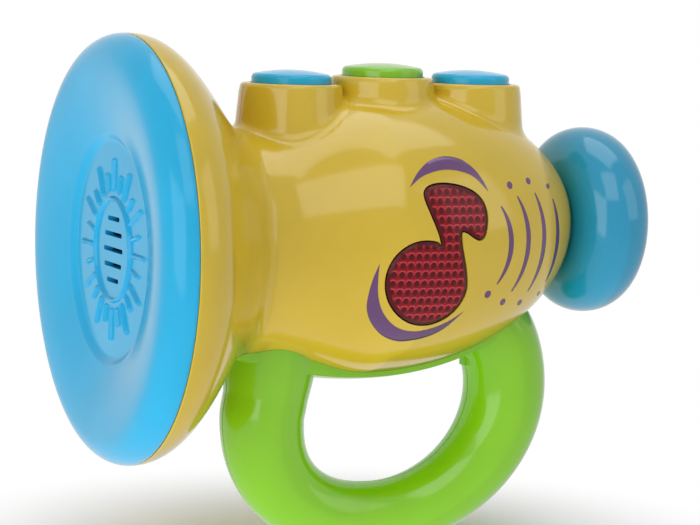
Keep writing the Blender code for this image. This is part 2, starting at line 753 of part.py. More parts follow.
def make_handle():
    """The two halves of the ring with the saddle under the body and the pegs that lock inside it."""
    hollow = handle_tube("handle_hollow", WALL, HANDLE_HOLLOW_FACETS)
    cut(hollow, body_solid("handle_top_wall", GAP + WALL, -CAP_DEPTH, BODY_LENGTH, LARGE_FACETS))
    for index, (s, z) in enumerate(handle_screw_places()):
        ends = (at(s, -REACH, z), at(s, REACH, z))
        cut(hollow, rod(f"handle_boss_{index}", case_boss_radius(), *ends, "Y"))
    grown = GAP + SADDLE_THICKNESS
    saddle = body_solid("saddle_form", grown, -CAP_DEPTH, BODY_LENGTH, LARGE_FACETS, saddle_radius)
    left = LEG_STATION - HANDLE_LEG_RADIUS - SADDLE_LEAD
    low = at(left, -SADDLE_WIDTH / 2, -BELLY_RADIUS - OVERRUN)
    high = at(HOOK_PEG_STATION + SADDLE_TAIL, SADDLE_WIDTH / 2, -BELLY_RADIUS / 2)
    keep_inside(saddle, box("saddle_limit", low, high))
    form = helper(handle_tube("handle_form", 0, HANDLE_FACETS))
    join(form, saddle)
    cut(form, body_solid("handle_seat", GAP, -CAP_DEPTH, BODY_LENGTH, LARGE_FACETS), hollow)
    for index, station in enumerate(peg_stations()):
        join(form, handle_peg(f"peg_form_{index}", station))
    for index, (s, z) in enumerate(handle_screw_places()):
        cut(form, screw_hole(f"handle_bore_{index}", s, z, HANDLE_SCREW_SEAT, HANDLE_SCREW_LENGTH))
    for name, side in (("handle_near", -1), ("handle_far", 1)):
        part(keep_inside(half_space(name, side), form), "green_plastic")
    for index, (s, z) in enumerate(handle_screw_places()):
        screw(f"handle_screw_{index + 1}", s, z, HANDLE_SCREW_SEAT, HANDLE_SCREW_LENGTH)


# Note window and its lamps

LENS_HEAD_STATION = 0.0886
LENS_HEAD_HEIGHT = -0.0079
LENS_HEAD_RADIUS = 0.0143
LENS_RISE = 0.0004
LENS_FLAG_SHARES = (
    (0.24, 0.89),
    (0.21, 1.07),
    (0.13, 1.29),
    (0.02, 1.55),
    (-0.11, 1.91),
    (-0.10, 2.10),
    (0.08, 2.22),
    (0.41, 2.26),
    (0.83, 2.20),
    (1.19, 2.05),
    (1.41, 1.81),
    (1.48, 1.46),
    (1.41, 1.10),
    (1.29, 1.00),
    (1.14, 1.04),
    (0.96, 1.15),
    (0.82, 1.20),
    (0.76, 1.13),
    (0.78, 0.87),
    (0.86, 0.57),
    (0.95, 0.26),
)
LENS_HEAD_TURN = (-8, -276)
LENS_HEAD_TILT = -35
LENS_HEAD_STRETCH_SHARE = 0.07
LENS_HEAD_STEPS = 12
LENS_MITRE_SHARE = 0.5
REFLECTOR_MARGIN = 0.0025
REFLECTOR_WALL = 0.0012
REFLECTOR_FLOOR = -0.0300
LAMP_RADIUS = 0.0025
LAMP_LENGTH = 0.0055
LAMP_BOARD_THICKNESS = 0.0012
LAMP_SPREAD = 0.0170


def lens_outline(grow=0.0):
    """The note's head as a tilted oval and its stem and flag as points, all moved outward by grow."""
    points = []
    first_turn, last_turn = LENS_HEAD_TURN
    for i in range(LENS_HEAD_STEPS + 1):
        angle = math.radians(first_turn + (last_turn - first_turn) * i / LENS_HEAD_STEPS)
        stretch = 1 + LENS_HEAD_STRETCH_SHARE * math.cos(2 * (angle - math.radians(LENS_HEAD_TILT)))
        reach = LENS_HEAD_RADIUS * stretch
        points.append((reach * math.cos(angle), reach * math.sin(angle)))
    points += [(s * LENS_HEAD_RADIUS, z * LENS_HEAD_RADIUS) for s, z in LENS_FLAG_SHARES]
    moved = []
    count = len(points)
    for i, (s, z) in enumerate(points):
        before, after = points[i - 1], points[(i + 1) % count]
        first = Vector((s - before[0], z - before[1])).normalized()
        second = Vector((after[0] - s, after[1] - z)).normalized()
        normal = Vector((-(first.y + second.y), first.x + second.x)).normalized()
        reach = grow / max(normal.dot(Vector((-first.y, first.x))), LENS_MITRE_SHARE)
        moved.append((LENS_HEAD_STATION + s + normal.x * reach, LENS_HEAD_HEIGHT + z + normal.y * reach))
    return moved


def window_limits():
    """Lowest and highest station and height of the window's light box."""
    outline = lens_outline(REFLECTOR_MARGIN)
    stations, heights = zip(*outline)
    return min(stations), max(stations), min(heights), max(heights)


def lamp_places():
    return (
        (LENS_HEAD_STATION, LENS_HEAD_HEIGHT),
        (LENS_HEAD_STATION + LAMP_SPREAD / 2, LENS_HEAD_HEIGHT + LAMP_SPREAD),
    )


def make_window():
    """The note window's lens, the white light box behind it, and the lamps on their board."""
    lens = body_solid("note_lens", LENS_RISE, -CAP_DEPTH, BODY_LENGTH)
    cut(lens, body_solid("lens_back", -WALL, -CAP_DEPTH - OVERRUN, BODY_LENGTH + OVERRUN))
    keep_inside(lens, prism("lens_limit", lens_outline(), -REACH, REFLECTOR_FLOOR / 2))
    part(lens, "red_lens")
    left, right, low, high = window_limits()
    corner_low, corner_high = at(left, -REACH, low), at(right, REFLECTOR_FLOOR, high)
    reflector = box("lamp_reflector", corner_low, corner_high)
    wall = Vector((REFLECTOR_WALL, 0, REFLECTOR_WALL))
    floor = Vector((REFLECTOR_WALL, REFLECTOR_WALL, REFLECTOR_WALL))
    cut(reflector, box("reflector_hollow", corner_low + wall - Vector((0, OVERRUN, 0)), corner_high - floor))
    keep_inside(reflector, body_solid("reflector_limit", -WALL - GAP, 0, BODY_LENGTH, LARGE_FACETS))
    for index, (s, z) in enumerate(lamp_places()):
        ends = (at(s, REFLECTOR_FLOOR - OVERRUN, z), at(s, REFLECTOR_FLOOR + OVERRUN, z))
        cut(reflector, rod(f"lamp_bore_{index}", LAMP_RADIUS + GAP, *ends, "Y"))
    part(reflector, "white_plastic")
    face = REFLECTOR_FLOOR + GAP
    margin = 2 * LAMP_RADIUS
    top = lamp_places()[1][1] + margin
    low_corner = at(lamp_places()[0][0] - margin, face, lamp_places()[0][1] - margin)
    high_corner = at(lamp_places()[1][0] + margin, face + LAMP_BOARD_THICKNESS, top)
    part(box("lamp_board", low_corner, high_corner), "board")
    dome = arc((0, LAMP_LENGTH - LAMP_RADIUS), (LAMP_RADIUS, LAMP_RADIUS), 0, 90, 4)[:-1]
    outline = [(0, 0), (LAMP_RADIUS, 0)] + dome + [(0, LAMP_LENGTH)]
    profile = [(r, face - GAP - y) for r, y in outline]
    for index, (s, z) in enumerate(lamp_places()):
        part(turned(f"window_lamp_{index + 1}", profile, at(s, 0, z), "Y", SMALL_FACETS), "lamp")


# Push keys

KEY_TRAVEL = 0.0030
KEY_PROTRUSION = 0.0044
KEY_DOME = 0.0012
KEY_EDGE = 0.0011
KEY_WALL = 0.0018
KEY_FLANGE_WIDTH = 0.0008
KEY_CROWN_SHARE = 0.5
KEY_FLANGE_HEIGHT = 0.0016
KEY_STEM_RADIUS = 0.0034
KEY_SPRING_RADIUS = 0.0070
KEY_SPRING_WIRE = 0.0005
KEY_SPRING_TURNS = 4
KEY_SPRING_STEPS = 8
KEY_BOARD_TOP = 0.0381
KEY_BOARD_THICKNESS = 0.0016
KEY_BOARD_WIDTH = 0.0180
KEY_BOARD_MARGIN = 0.0100
KEY_SWITCH_SIDE = 0.0060
KEY_SWITCH_HEIGHT = 0.0042
KEY_RIB_THICKNESS = 0.0030
KEY_RIB_HEIGHT = 0.0060
KEY_RIB_START = 0.0070
KEY_COLOURS = ("blue_plastic", "green_plastic", "blue_plastic")


def switch_top():
    return KEY_BOARD_TOP + GAP + KEY_SWITCH_HEIGHT


def make_key(index):
    """One push key: a domed cap with a flange under the tower's top and a stem over its switch."""
    station = tower_station(index)
    seat = tower_top(index)
    top = seat + KEY_PROTRUSION
    edge_top = top - KEY_DOME
    ceiling = edge_top - KEY_WALL
    flange_top = seat - TOWER_TOP_WALL - GAP
    flange_bottom = flange_top - KEY_FLANGE_HEIGHT
    outer = key_radius(index)
    stem_bottom = switch_top() + KEY_TRAVEL + GAP
    bore = outer - KEY_WALL
    flange = outer + KEY_FLANGE_WIDTH
    profile = [(0, stem_bottom), (KEY_STEM_RADIUS, stem_bottom), (KEY_STEM_RADIUS, ceiling), (bore, ceiling)]
    profile += [(bore, flange_bottom), (flange, flange_bottom), (flange, flange_top), (outer, flange_top)]
    profile += arc((outer - KEY_EDGE, edge_top - KEY_EDGE), (KEY_EDGE, KEY_EDGE), 0, 90, 2)
    crown = (outer - KEY_EDGE) * KEY_CROWN_SHARE
    profile += [(crown, edge_top + KEY_DOME * (1 - KEY_CROWN_SHARE * KEY_CROWN_SHARE)), (0, top)]
    key = turned(f"push_key_{index + 1}", profile, Vector((0, 0, 0)), "Z", KEY_FACETS)
    key.location = at(station, 0, 0)
    part(key, KEY_COLOURS[index])
    make_key_spring(index, ceiling)


def make_key_spring(index, ceiling):
    low = KEY_BOARD_TOP + GAP + KEY_SPRING_WIRE
    high = ceiling - GAP - KEY_SPRING_WIRE
    count = KEY_SPRING_TURNS * KEY_SPRING_STEPS
    points = []
    for i in range(count + 1):
        angle = math.tau * i / KEY_SPRING_STEPS
        place = Vector((KEY_SPRING_RADIUS * math.cos(angle), KEY_SPRING_RADIUS * math.sin(angle), 0))
        points.append(at(tower_station(index), 0, low + (high - low) * i / count) + place)
    part(tube(f"key_spring_{index + 1}", points, KEY_SPRING_WIRE, 1), "steel")


def tube(name, points, radius, resolution):
    """A round bar along a run of points, closed at both ends."""
    curve = bpy.data.curves.new(name, "CURVE")
    curve.dimensions = "3D"
    curve.bevel_depth = radius
    curve.bevel_resolution = resolution
    curve.use_fill_caps = True
    spline = curve.splines.new("POLY")
    spline.points.add(len(points) - 1)
    for slot, point in zip(spline.points, points):
        slot.co = (*point, 1)
    made = bpy.data.objects.new(name, curve)
    bpy.context.scene.collection.objects.link(made)
    return made


def key_board_limits():
    return tower_station(0) - KEY_BOARD_MARGIN, tower_station(TOWER_COUNT - 1) + KEY_BOARD_MARGIN


def key_rib_stations():
    return [tower_station(i) + TOWER_SPACING / 2 for i in range(TOWER_COUNT - 1)]


def make_keys():
    for index in range(TOWER_COUNT):
        make_key(index)
        side = KEY_SWITCH_SIDE / 2
        low = at(tower_station(index) - side, -side, KEY_BOARD_TOP + GAP)
        high = at(tower_station(index) + side, side, switch_top())
        part(box(f"key_switch_{index + 1}", low, high), "black_plastic")
    left, right = key_board_limits()
    low = at(left, -KEY_BOARD_WIDTH / 2, KEY_BOARD_TOP - KEY_BOARD_THICKNESS)
    part(box("key_board", low, at(right, KEY_BOARD_WIDTH / 2, KEY_BOARD_TOP)), "board")


# Battery compartment on the far side

CELL_RADIUS = 0.00725
CELL_LENGTH = 0.0505
CELL_NUB_RADIUS = 0.0027
CELL_NUB_HEIGHT = 0.0012
TRAY_CENTRE_STATION = 0.0920
CELL_ROOM = 0.0065
TRAY_WALL = 0.0016
TRAY_BACK = 0.0170
CELL_SPACING = 0.0155
CONTACT_THICKNESS = 0.0005
CONTACT_WIDTH = 0.0100
CONTACT_TAB_WIDTH = 0.0030
CONTACT_TAB_REACH = 0.0020
CONTACT_CONE_RADIUS = 0.0040
CONTACT_BASE_SHARE = 0.125
COVER_TONGUE = 0.0120
COVER_SCREW_INSET = 0.0050
COVER_SCREW_LENGTH = 0.0100
COVER_SCREW_DEPTH = 0.0022
COVER_PAD_THICKNESS = 0.0024
COVER_PAD_RADIUS = 0.0042

TRAY_LENGTH = CELL_LENGTH + CELL_ROOM


def tray_limits():
    """Inside stations and heights of the battery tray, whose length runs along the trumpet."""
    left = TRAY_CENTRE_STATION - TRAY_LENGTH / 2
    middle = axis_rise(TRAY_CENTRE_STATION)
    half = CELL_SPACING / 2 + CELL_RADIUS + GAP
    return left, left + TRAY_LENGTH, middle - half, middle + half


def cell_heights():
    middle = axis_rise(TRAY_CENTRE_STATION)
    return middle + CELL_SPACING / 2, middle - CELL_SPACING / 2


def cell_side():
    return TRAY_BACK + TRAY_WALL + GAP + CELL_RADIUS


def cover_limits():
    left, right, low, high = tray_limits()
    return left, right + COVER_TONGUE, low, high


def cover_screw_place():
    """Station, height and head seat of the captive screw at the cover's far end."""
    station = cover_limits()[1] - COVER_SCREW_INSET
    seat = body_radius(station) - COVER_SCREW_DEPTH - SCREW_HEAD_HEIGHT
    return station, axis_rise(TRAY_CENTRE_STATION), seat


def box_between(name, stations, sides, heights):
    return box(name, at(stations[0], sides[0], heights[0]), at(stations[1], sides[1], heights[1]))


def make_battery_tray():
    """The tray that holds the cells, with the cover's screw post and the sound board's studs."""
    left, right, low, high = tray_limits()
    tray = box_between(
        "battery_tray",
        (left - TRAY_WALL, right + TRAY_WALL),
        (TRAY_BACK, REACH),
        (low - TRAY_WALL, high + TRAY_WALL),
    )
    station, height, seat = cover_screw_place()
    post_top = seat - COVER_PAD_THICKNESS - GAP
    ends = (at(station, TRAY_BACK + GAP, height), at(station, post_top, height))
    join(tray, rod("tray_post", COVER_PAD_RADIUS, *ends, "Y"))
    foot = box_between(
        "tray_foot",
        (right + GAP, station),
        (TRAY_BACK + 2 * GAP, TRAY_BACK + 2 * TRAY_WALL),
        (height - COVER_PAD_RADIUS / 2, height + COVER_PAD_RADIUS / 2),
    )
    join(tray, foot)
    for index, (s, z) in enumerate(board_post_places()):
        ends = (at(s, BOARD_SIDE + BOARD_THICKNESS + GAP, z), at(s, TRAY_BACK + TRAY_WALL / 2, z))
        join(tray, rod(f"tray_stud_{index}", BOARD_POST_RADIUS, *ends, "Y"))
    sides = (TRAY_BACK + TRAY_WALL, REACH + OVERRUN)
    cut(tray, box_between("tray_hollow", (left, right), sides, (low, high)))
    keep_inside(tray, body_solid("tray_limit", -WALL - GAP, 0, BODY_LENGTH, LARGE_FACETS))
    for index, z in enumerate(cell_heights()):
        width = CONTACT_TAB_WIDTH / 2 + GAP
        slot = box_between(
            f"tray_slot_{index}",
            (left, left + CONTACT_THICKNESS + 3 * GAP),
            (TRAY_BACK - OVERRUN, TRAY_BACK + OVERRUN),
            (z - width, z + width),
        )
        cut(tray, slot)
    cut(tray, screw_hole("tray_bore", station, height, seat, COVER_SCREW_LENGTH))
    part(tray, "black_plastic")


def make_cells():
    """Two cells side by side, the upper one's nub toward the bell and the lower one's away from it."""
    left, right, _, _ = tray_limits()
    body_length = CELL_LENGTH - CELL_NUB_HEIGHT
    edge = CELL_NUB_HEIGHT / 2
    profile = [(0, 0), (CELL_RADIUS - edge, 0), (CELL_RADIUS, edge), (CELL_RADIUS, body_length - edge)]
    profile += [(CELL_RADIUS - edge, body_length), (CELL_NUB_RADIUS, body_length)]
    profile += [(CELL_NUB_RADIUS, CELL_LENGTH), (0, CELL_LENGTH)]
    upper, lower = cell_heights()
    toward_bell = [(r, CELL_LENGTH - x) for r, x in profile][::-1]
    start = left + CONTACT_THICKNESS + 2 * GAP
    finish = right - CONTACT_THICKNESS - 2 * GAP - CELL_LENGTH
    part(turned("cell_upper", toward_bell, at(start, cell_side(), upper), "X", MEDIUM_FACETS), "cell_wrap")
    part(turned("cell_lower", profile, at(finish, cell_side(), lower), "X", MEDIUM_FACETS), "cell_wrap")


def contact_cone(name, station, z, length):
    """The solid that stands for a conical contact spring; a negative length points to the bell."""
    base = length * CONTACT_BASE_SHARE
    profile = [(0, -base), (CONTACT_CONE_RADIUS, -base), (CONTACT_CONE_RADIUS, base)]
    profile += [(CONTACT_CONE_RADIUS / 2, length), (0, length)]
    return turned(name, profile, at(station, cell_side(), z), "X", SMALL_FACETS)


def make_contacts():
    left, right, _, _ = tray_limits()
    upper, lower = cell_heights()
    half = CONTACT_WIDTH / 2
    spring = TRAY_LENGTH - CELL_LENGTH - 2 * CONTACT_THICKNESS - 4 * GAP
    near = (left + GAP, left + GAP + CONTACT_THICKNESS)
    sides = (cell_side() - half, cell_side() + half)
    for name, z, sprung in (("contact_positive", upper, False), ("contact_negative", lower, True)):
        tab, foot = CONTACT_TAB_WIDTH / 2, TRAY_BACK - CONTACT_TAB_REACH
        outline = [(foot, z - tab), (sides[0], z - tab), (sides[0], z - half), (sides[1], z - half)]
        outline += [(sides[1], z + half), (sides[0], z + half), (sides[0], z + tab), (foot, z + tab)]
        contact = plate(name, outline, near)
        if sprung:
            join(contact, contact_cone(f"{name}_cone", near[0] + CONTACT_THICKNESS / 2, z, spring))
        part(contact, "steel")
    bridge = box_between(
        "contact_bridge",
        (right - GAP - CONTACT_THICKNESS, right - GAP),
        sides,
        (lower - half, upper + half),
    )
    join(bridge, contact_cone("bridge_cone", right - GAP - CONTACT_THICKNESS / 2, upper, -spring))
    part(bridge, "steel")


def make_battery_cover():
    left, right, low, high = cover_limits()
    station, height, seat = cover_screw_place()
    inner = body_solid("cover_inner", -WALL, -CAP_DEPTH - OVERRUN, BODY_LENGTH + OVERRUN)
    pad_low = seat - COVER_PAD_THICKNESS
    ends = (at(station, pad_low, height), at(station, REACH, height))
    cut(inner, rod("cover_pad", COVER_PAD_RADIUS, *ends, "Y"))
    cover = body_solid("battery_cover", 0, -CAP_DEPTH, BODY_LENGTH)
    cut(cover, inner)
    limit = box_between("cover_limit", (left + GAP, right - GAP), (TRAY_BACK, REACH), (low + GAP, high - GAP))
    keep_inside(cover, limit)
    cut(cover, screw_hole("cover_bore", station, height, seat, COVER_SCREW_LENGTH))
    part(cover, "yellow_plastic")
    screw("cover_screw", station, height, seat, COVER_SCREW_LENGTH)


# Power switch beside the battery cover

SWITCH_TRAY_GAP = 0.0006
SWITCH_TRAVEL = 0.0040
SWITCH_KNOB_LENGTH = 0.0054
SWITCH_KNOB_WIDTH = 0.0048
SWITCH_KNOB_RISE = 0.0016
SWITCH_PLATE_LENGTH = 0.0080
SWITCH_PLATE_WIDTH = 0.0080
SWITCH_PLATE_THICKNESS = 0.0012
SWITCH_SIDE = 0.0330
SWITCH_BODY_DEPTH = 0.0057
SWITCH_BODY_LENGTH = 0.0206
SWITCH_BODY_WIDTH = 0.0070
SWITCH_POST_SPREAD = 0.0086
SWITCH_POST_RADIUS = 0.0016

SWITCH_RIGHT = TRAY_CENTRE_STATION - TRAY_LENGTH / 2 - TRAY_WALL - SWITCH_TRAY_GAP
SWITCH_STATION = SWITCH_RIGHT - SWITCH_BODY_LENGTH / 2


def switch_posts():
    height = axis_rise(SWITCH_STATION)
    return [(SWITCH_STATION + side * SWITCH_POST_SPREAD, height) for side in (-1, 1)]


def make_power_switch():
    height = axis_rise(SWITCH_STATION)
    off = SWITCH_STATION - SWITCH_TRAVEL / 2
    outer = body_radius(off) + SWITCH_KNOB_RISE
    knob = box_between(
        "power_knob",
        (off - SWITCH_KNOB_LENGTH / 2, off + SWITCH_KNOB_LENGTH / 2),
        (SWITCH_SIDE + SWITCH_PLATE_THICKNESS / 2, outer),
        (height - SWITCH_KNOB_WIDTH / 2, height + SWITCH_KNOB_WIDTH / 2),
    )
    plate = box_between(
        "knob_plate",
        (off - SWITCH_PLATE_LENGTH / 2, off + SWITCH_PLATE_LENGTH / 2),
        (SWITCH_SIDE, SWITCH_SIDE + SWITCH_PLATE_THICKNESS),
        (height - SWITCH_PLATE_WIDTH / 2, height + SWITCH_PLATE_WIDTH / 2),
    )
    part(join(knob, plate), "black_plastic")
    top = SWITCH_SIDE - GAP
    body = box_between(
        "power_switch",
        (SWITCH_RIGHT - SWITCH_BODY_LENGTH, SWITCH_RIGHT),
        (top - SWITCH_BODY_DEPTH, top),
        (height - SWITCH_BODY_WIDTH / 2, height + SWITCH_BODY_WIDTH / 2),
    )
    part(body, "steel")


# Sound board and wires

BOARD_SIDE = 0.0100
BOARD_THICKNESS = 0.0016
BOARD_LEFT = 0.0680
BOARD_RIGHT = 0.1180
BOARD_LOW = -0.0100
BOARD_HIGH = 0.0180
BOARD_POST_RADIUS = 0.0025
CHIP_STATION = 0.0810
CHIP_RADIUS = 0.0060
CHIP_HEIGHT = 0.0018
CHIP_FACETS = 12
CAPACITOR_STATION = 0.1060
CAPACITOR_RADIUS = 0.00315
CAPACITOR_HEIGHT = 0.0080
WIRE_RADIUS = 0.0006
WIRE_STEPS = 3
SPEAKER_TAG_SPREAD = 0.0020
SPEAKER_PAD_HEIGHT = -0.0010
SPEAKER_PAD_SPREAD = 0.0070
SWITCH_TAG_SPREAD = 0.0050
SUPPLY_PAD_SPREAD = 0.0030
LAMP_LEAD_STATION = 0.0920
LAMP_LEAD_HEIGHT = 0.0020
LAMP_PAD_STATION = 0.0950
LAMP_PAD_HEIGHT = 0.0120
KEY_LEAD_SIDE = 0.0040
KEY_PAD_STATION = 0.1000
KEY_PAD_HEIGHT = 0.0130


def board_post_places():
    margin = 2 * BOARD_POST_RADIUS
    return (BOARD_LEFT + 2 * margin, BOARD_LOW + margin), (BOARD_RIGHT - margin, BOARD_HIGH - margin)


def make_sound_board():
    sides = (BOARD_SIDE, BOARD_SIDE + BOARD_THICKNESS)
    part(box_between("sound_board", (BOARD_LEFT, BOARD_RIGHT), sides, (BOARD_LOW, BOARD_HIGH)), "board")
    face = BOARD_SIDE - GAP
    dome = arc((CHIP_RADIUS / 2, 0), (CHIP_RADIUS / 2, CHIP_HEIGHT), 0, 90, 3)
    profile = [(0, face)] + [(r, face - h) for r, h in dome] + [(0, face - CHIP_HEIGHT)]
    middle = (BOARD_LOW + BOARD_HIGH) / 2
    part(turned("sound_chip", profile, at(CHIP_STATION, 0, middle), "Y", CHIP_FACETS), "black_plastic")
    ends = (at(CAPACITOR_STATION, face - CAPACITOR_HEIGHT, middle), at(CAPACITOR_STATION, face, middle))
    part(rod("capacitor", CAPACITOR_RADIUS, *ends, "Y"), "steel")


def smooth_route(points, steps):
    """Points of a smooth curve through the route's own points, several to each stretch."""
    route = []
    padded = [points[0]] + list(points) + [points[-1]]
    for a, b, c, d in zip(padded, padded[1:], padded[2:], padded[3:]):
        for i in range(steps):
            t = i / steps
            bend = 2 * b + (c - a) * t + (2 * a - 5 * b + 4 * c - d) * t**2
            route.append((bend + (3 * b - a - 3 * c + d) * t**3) / 2)
    return route + [points[-1]]


def wire(name, finish, start, shares, end):
    """A lead from one place to another, past places given as shares of the body's length and radius."""
    between = [(s * BODY_LENGTH, y * BELLY_RADIUS, z * BELLY_RADIUS) for s, y, z in shares]
    route = smooth_route([at(*point) for point in (start, *between, end)], WIRE_STEPS)
    part(tube(name, route, WIRE_RADIUS, 1), finish)


def make_wires():
    face = WIRE_RADIUS + GAP
    magnet_side = SPEAKER_MAGNET_RADIUS + face
    magnet_station = speaker_front() + SPEAKER_DEPTH + SPEAKER_MAGNET_DEPTH / 2
    board_near = BOARD_SIDE - face
    board_far = BOARD_SIDE + BOARD_THICKNESS + face
    upper, lower = cell_heights()
    tab_station = tray_limits()[0] + GAP + CONTACT_THICKNESS / 2
    tab_side = TRAY_BACK - CONTACT_TAB_REACH - face
    switch_side = SWITCH_SIDE - GAP - SWITCH_BODY_DEPTH - face
    switch_height = axis_rise(SWITCH_STATION)
    wire(
        "speaker_lead_red",
        "red_wire",
        (magnet_station, magnet_side, SPEAKER_TAG_SPREAD / 2),
        ((0.127, 0.340, 0.042), (0.229, 0.255, 0.085), (0.344, 0.191, 0.106)),
        (BOARD_LEFT + face, board_near, SPEAKER_PAD_HEIGHT + SPEAKER_PAD_SPREAD),
    )
    wire(
        "speaker_lead_black",
        "black_wire",
        (magnet_station, magnet_side, -SPEAKER_TAG_SPREAD / 2),
        ((0.127, 0.340, -0.042), (0.229, 0.255, -0.021), (0.344, 0.191, -0.021)),
        (BOARD_LEFT + face, board_near, SPEAKER_PAD_HEIGHT),
    )
    wire(
        "battery_lead_red",
        "red_wire",
        (tab_station, tab_side, upper),
        ((0.382, 0.318, 0.212), (0.363, 0.425, 0.127)),
        (SWITCH_STATION + SWITCH_TAG_SPREAD, switch_side, switch_height),
    )
    wire(
        "switch_lead_red",
        "red_wire",
        (SWITCH_STATION, switch_side, switch_height),
        ((0.331, 0.403, 0.064), (0.382, 0.287, 0.064)),
        (BOARD_LEFT + 2 * face, board_far, SUPPLY_PAD_SPREAD),
    )
    wire(
        "battery_lead_black",
        "black_wire",
        (tab_station, tab_side, lower),
        ((0.420, 0.287, -0.064),),
        (BOARD_LEFT + 2 * face, board_far, -SUPPLY_PAD_SPREAD),
    )
    wire(
        "lamp_lead",
        "red_wire",
        (LAMP_LEAD_STATION, REFLECTOR_FLOOR + GAP + LAMP_BOARD_THICKNESS + face, LAMP_LEAD_HEIGHT),
        ((0.592, -0.318, 0.085), (0.605, -0.042, 0.191)),
        (LAMP_PAD_STATION, board_near, LAMP_PAD_HEIGHT),
    )
    wire(
        "key_lead",
        "black_wire",
        (KEY_PAD_STATION, KEY_LEAD_SIDE, KEY_BOARD_TOP - KEY_BOARD_THICKNESS - face),
        ((0.631, 0.064, 0.594), (0.637, 0.127, 0.425)),
        (KEY_PAD_STATION, board_near, KEY_PAD_HEIGHT),
    )


# The two halves of the body

# The manifold solver keeps these thin shells closed where facets of the towers and the body nearly meet.
SHELL_SOLVER = "MANIFOLD"


def body_cavity():
    """The body's inside, with its screw bosses, the switch's posts and the key board's ribs left standing."""
    cavity = body_solid("body_cavity", -WALL, -OVERRUN, BODY_LENGTH - WALL)
    for index in range(TOWER_COUNT):
        join(cavity, tower_solid(f"tower_hollow_{index}", index, TOWER_TOP_WALL), solver=SHELL_SOLVER)
    standing = []
    for index, (s, z) in enumerate(case_screw_places()):
        ends = (at(s, -REACH, z), at(s, REACH, z))
        standing.append(rod(f"case_boss_{index}", case_boss_radius(), *ends, "Y"))
    for index, (s, z) in enumerate(switch_posts()):
        ends = (at(s, SWITCH_SIDE, z), at(s, REACH, z))
        standing.append(rod(f"switch_post_{index}", SWITCH_POST_RADIUS, *ends, "Y"))
    top = KEY_BOARD_TOP - KEY_BOARD_THICKNESS - GAP
    heights = (top - KEY_RIB_HEIGHT, top)
    for index, station in enumerate(key_rib_stations()):
        stations = (station - KEY_RIB_THICKNESS / 2, station + KEY_RIB_THICKNESS / 2)
        for side in (-1, 1):
            sides = sorted((side * KEY_RIB_START, side * REACH))
            standing.append(box_between(f"key_rib_{index}_{side}", stations, sides, heights))
    return cut(cavity, *standing, solver=SHELL_SOLVER)


def body_bores():
    """The holes that both halves share: the keys, the mouthpiece's neck, the handle's pegs and the screws."""
    bores = []
    for index in range(TOWER_COUNT):
        low = at(tower_station(index), 0, tower_top(index) - 2 * TOWER_TOP_WALL)
        high = at(tower_station(index), 0, tower_top(index) + OVERRUN)
        bores.append(rod(f"key_bore_{index}", key_radius(index) + KEY_CLEARANCE, low, high, "Z", KEY_FACETS))
    low = at(BODY_LENGTH - 3 * WALL, 0, MOUTH_RISE)
    high = at(BODY_LENGTH + OVERRUN, 0, MOUTH_RISE)
    bores.append(rod("neck_bore", MOUTH_NECK_RADIUS + GAP, low, high, "X", MEDIUM_FACETS))
    for index, station in enumerate(peg_stations()):
        foot, flange = peg_sizes(station)
        ends = (at(station, 0, foot - OVERRUN), at(station, 0, flange + PEG_FLANGE_HEIGHT))
        bores.append(rod(f"peg_bore_{index}", PEG_RADIUS + GAP, *ends, "Z"))
    for index, (s, z) in enumerate(case_screw_places()):
        bores.append(screw_hole(f"case_bore_{index}", s, z, SCREW_HEAD_SEAT, SCREW_LENGTH))
    return bores


def far_openings():
    """The battery opening and the slot that the power knob slides in."""
    left, right, low, high = cover_limits()
    battery = box_between("battery_opening", (left, right), (TRAY_BACK, REACH), (low, high))
    half_length = (SWITCH_KNOB_LENGTH + SWITCH_TRAVEL) / 2 + 2 * GAP
    half_width = SWITCH_KNOB_WIDTH / 2 + GAP
    height = axis_rise(SWITCH_STATION)
    slot = box_between(
        "knob_slot",
        (SWITCH_STATION - half_length, SWITCH_STATION + half_length),
        (SWITCH_SIDE, REACH),
        (height - half_width, height + half_width),
    )
    return battery, slot


def make_body():
    form = helper(body_solid("body_form", 0, GAP / 2, BODY_LENGTH))
    for index in range(TOWER_COUNT):
        join(form, tower_solid(f"tower_form_{index}", index, 0), solver=SHELL_SOLVER)
    cut(form, body_cavity(), *body_bores(), solver=SHELL_SOLVER)
    near = keep_inside(half_space("body_near", -1), form, SHELL_SOLVER)
    lens_bore = prism("lens_bore", lens_outline(GAP), -REACH, REFLECTOR_FLOOR / 2)
    part(cut(near, lens_bore, solver=SHELL_SOLVER), "yellow_plastic")
    far = keep_inside(half_space("body_far", 1), form, SHELL_SOLVER)
    part(cut(far, *far_openings(), solver=SHELL_SOLVER), "yellow_plastic")
    for index, (s, z) in enumerate(case_screw_places()):
        screw(f"case_screw_{index + 1}", s, z, SCREW_HEAD_SEAT, SCREW_LENGTH)


clear_scene()
make_body()
make_bell_cap()
make_speaker()
make_mouthpiece()
make_handle()
make_window()
make_keys()
make_battery_tray()
make_cells()
make_contacts()
make_battery_cover()
make_power_switch()
make_sound_board()
make_wires()
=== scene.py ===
"""The toy trumpet's looks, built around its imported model.

Metres, +Z up. A station is a distance along +X from the seam between the bell cap and the yellow body,
and a height is measured from the bell's axis. +Y is the side away from the note window.
"""
import math

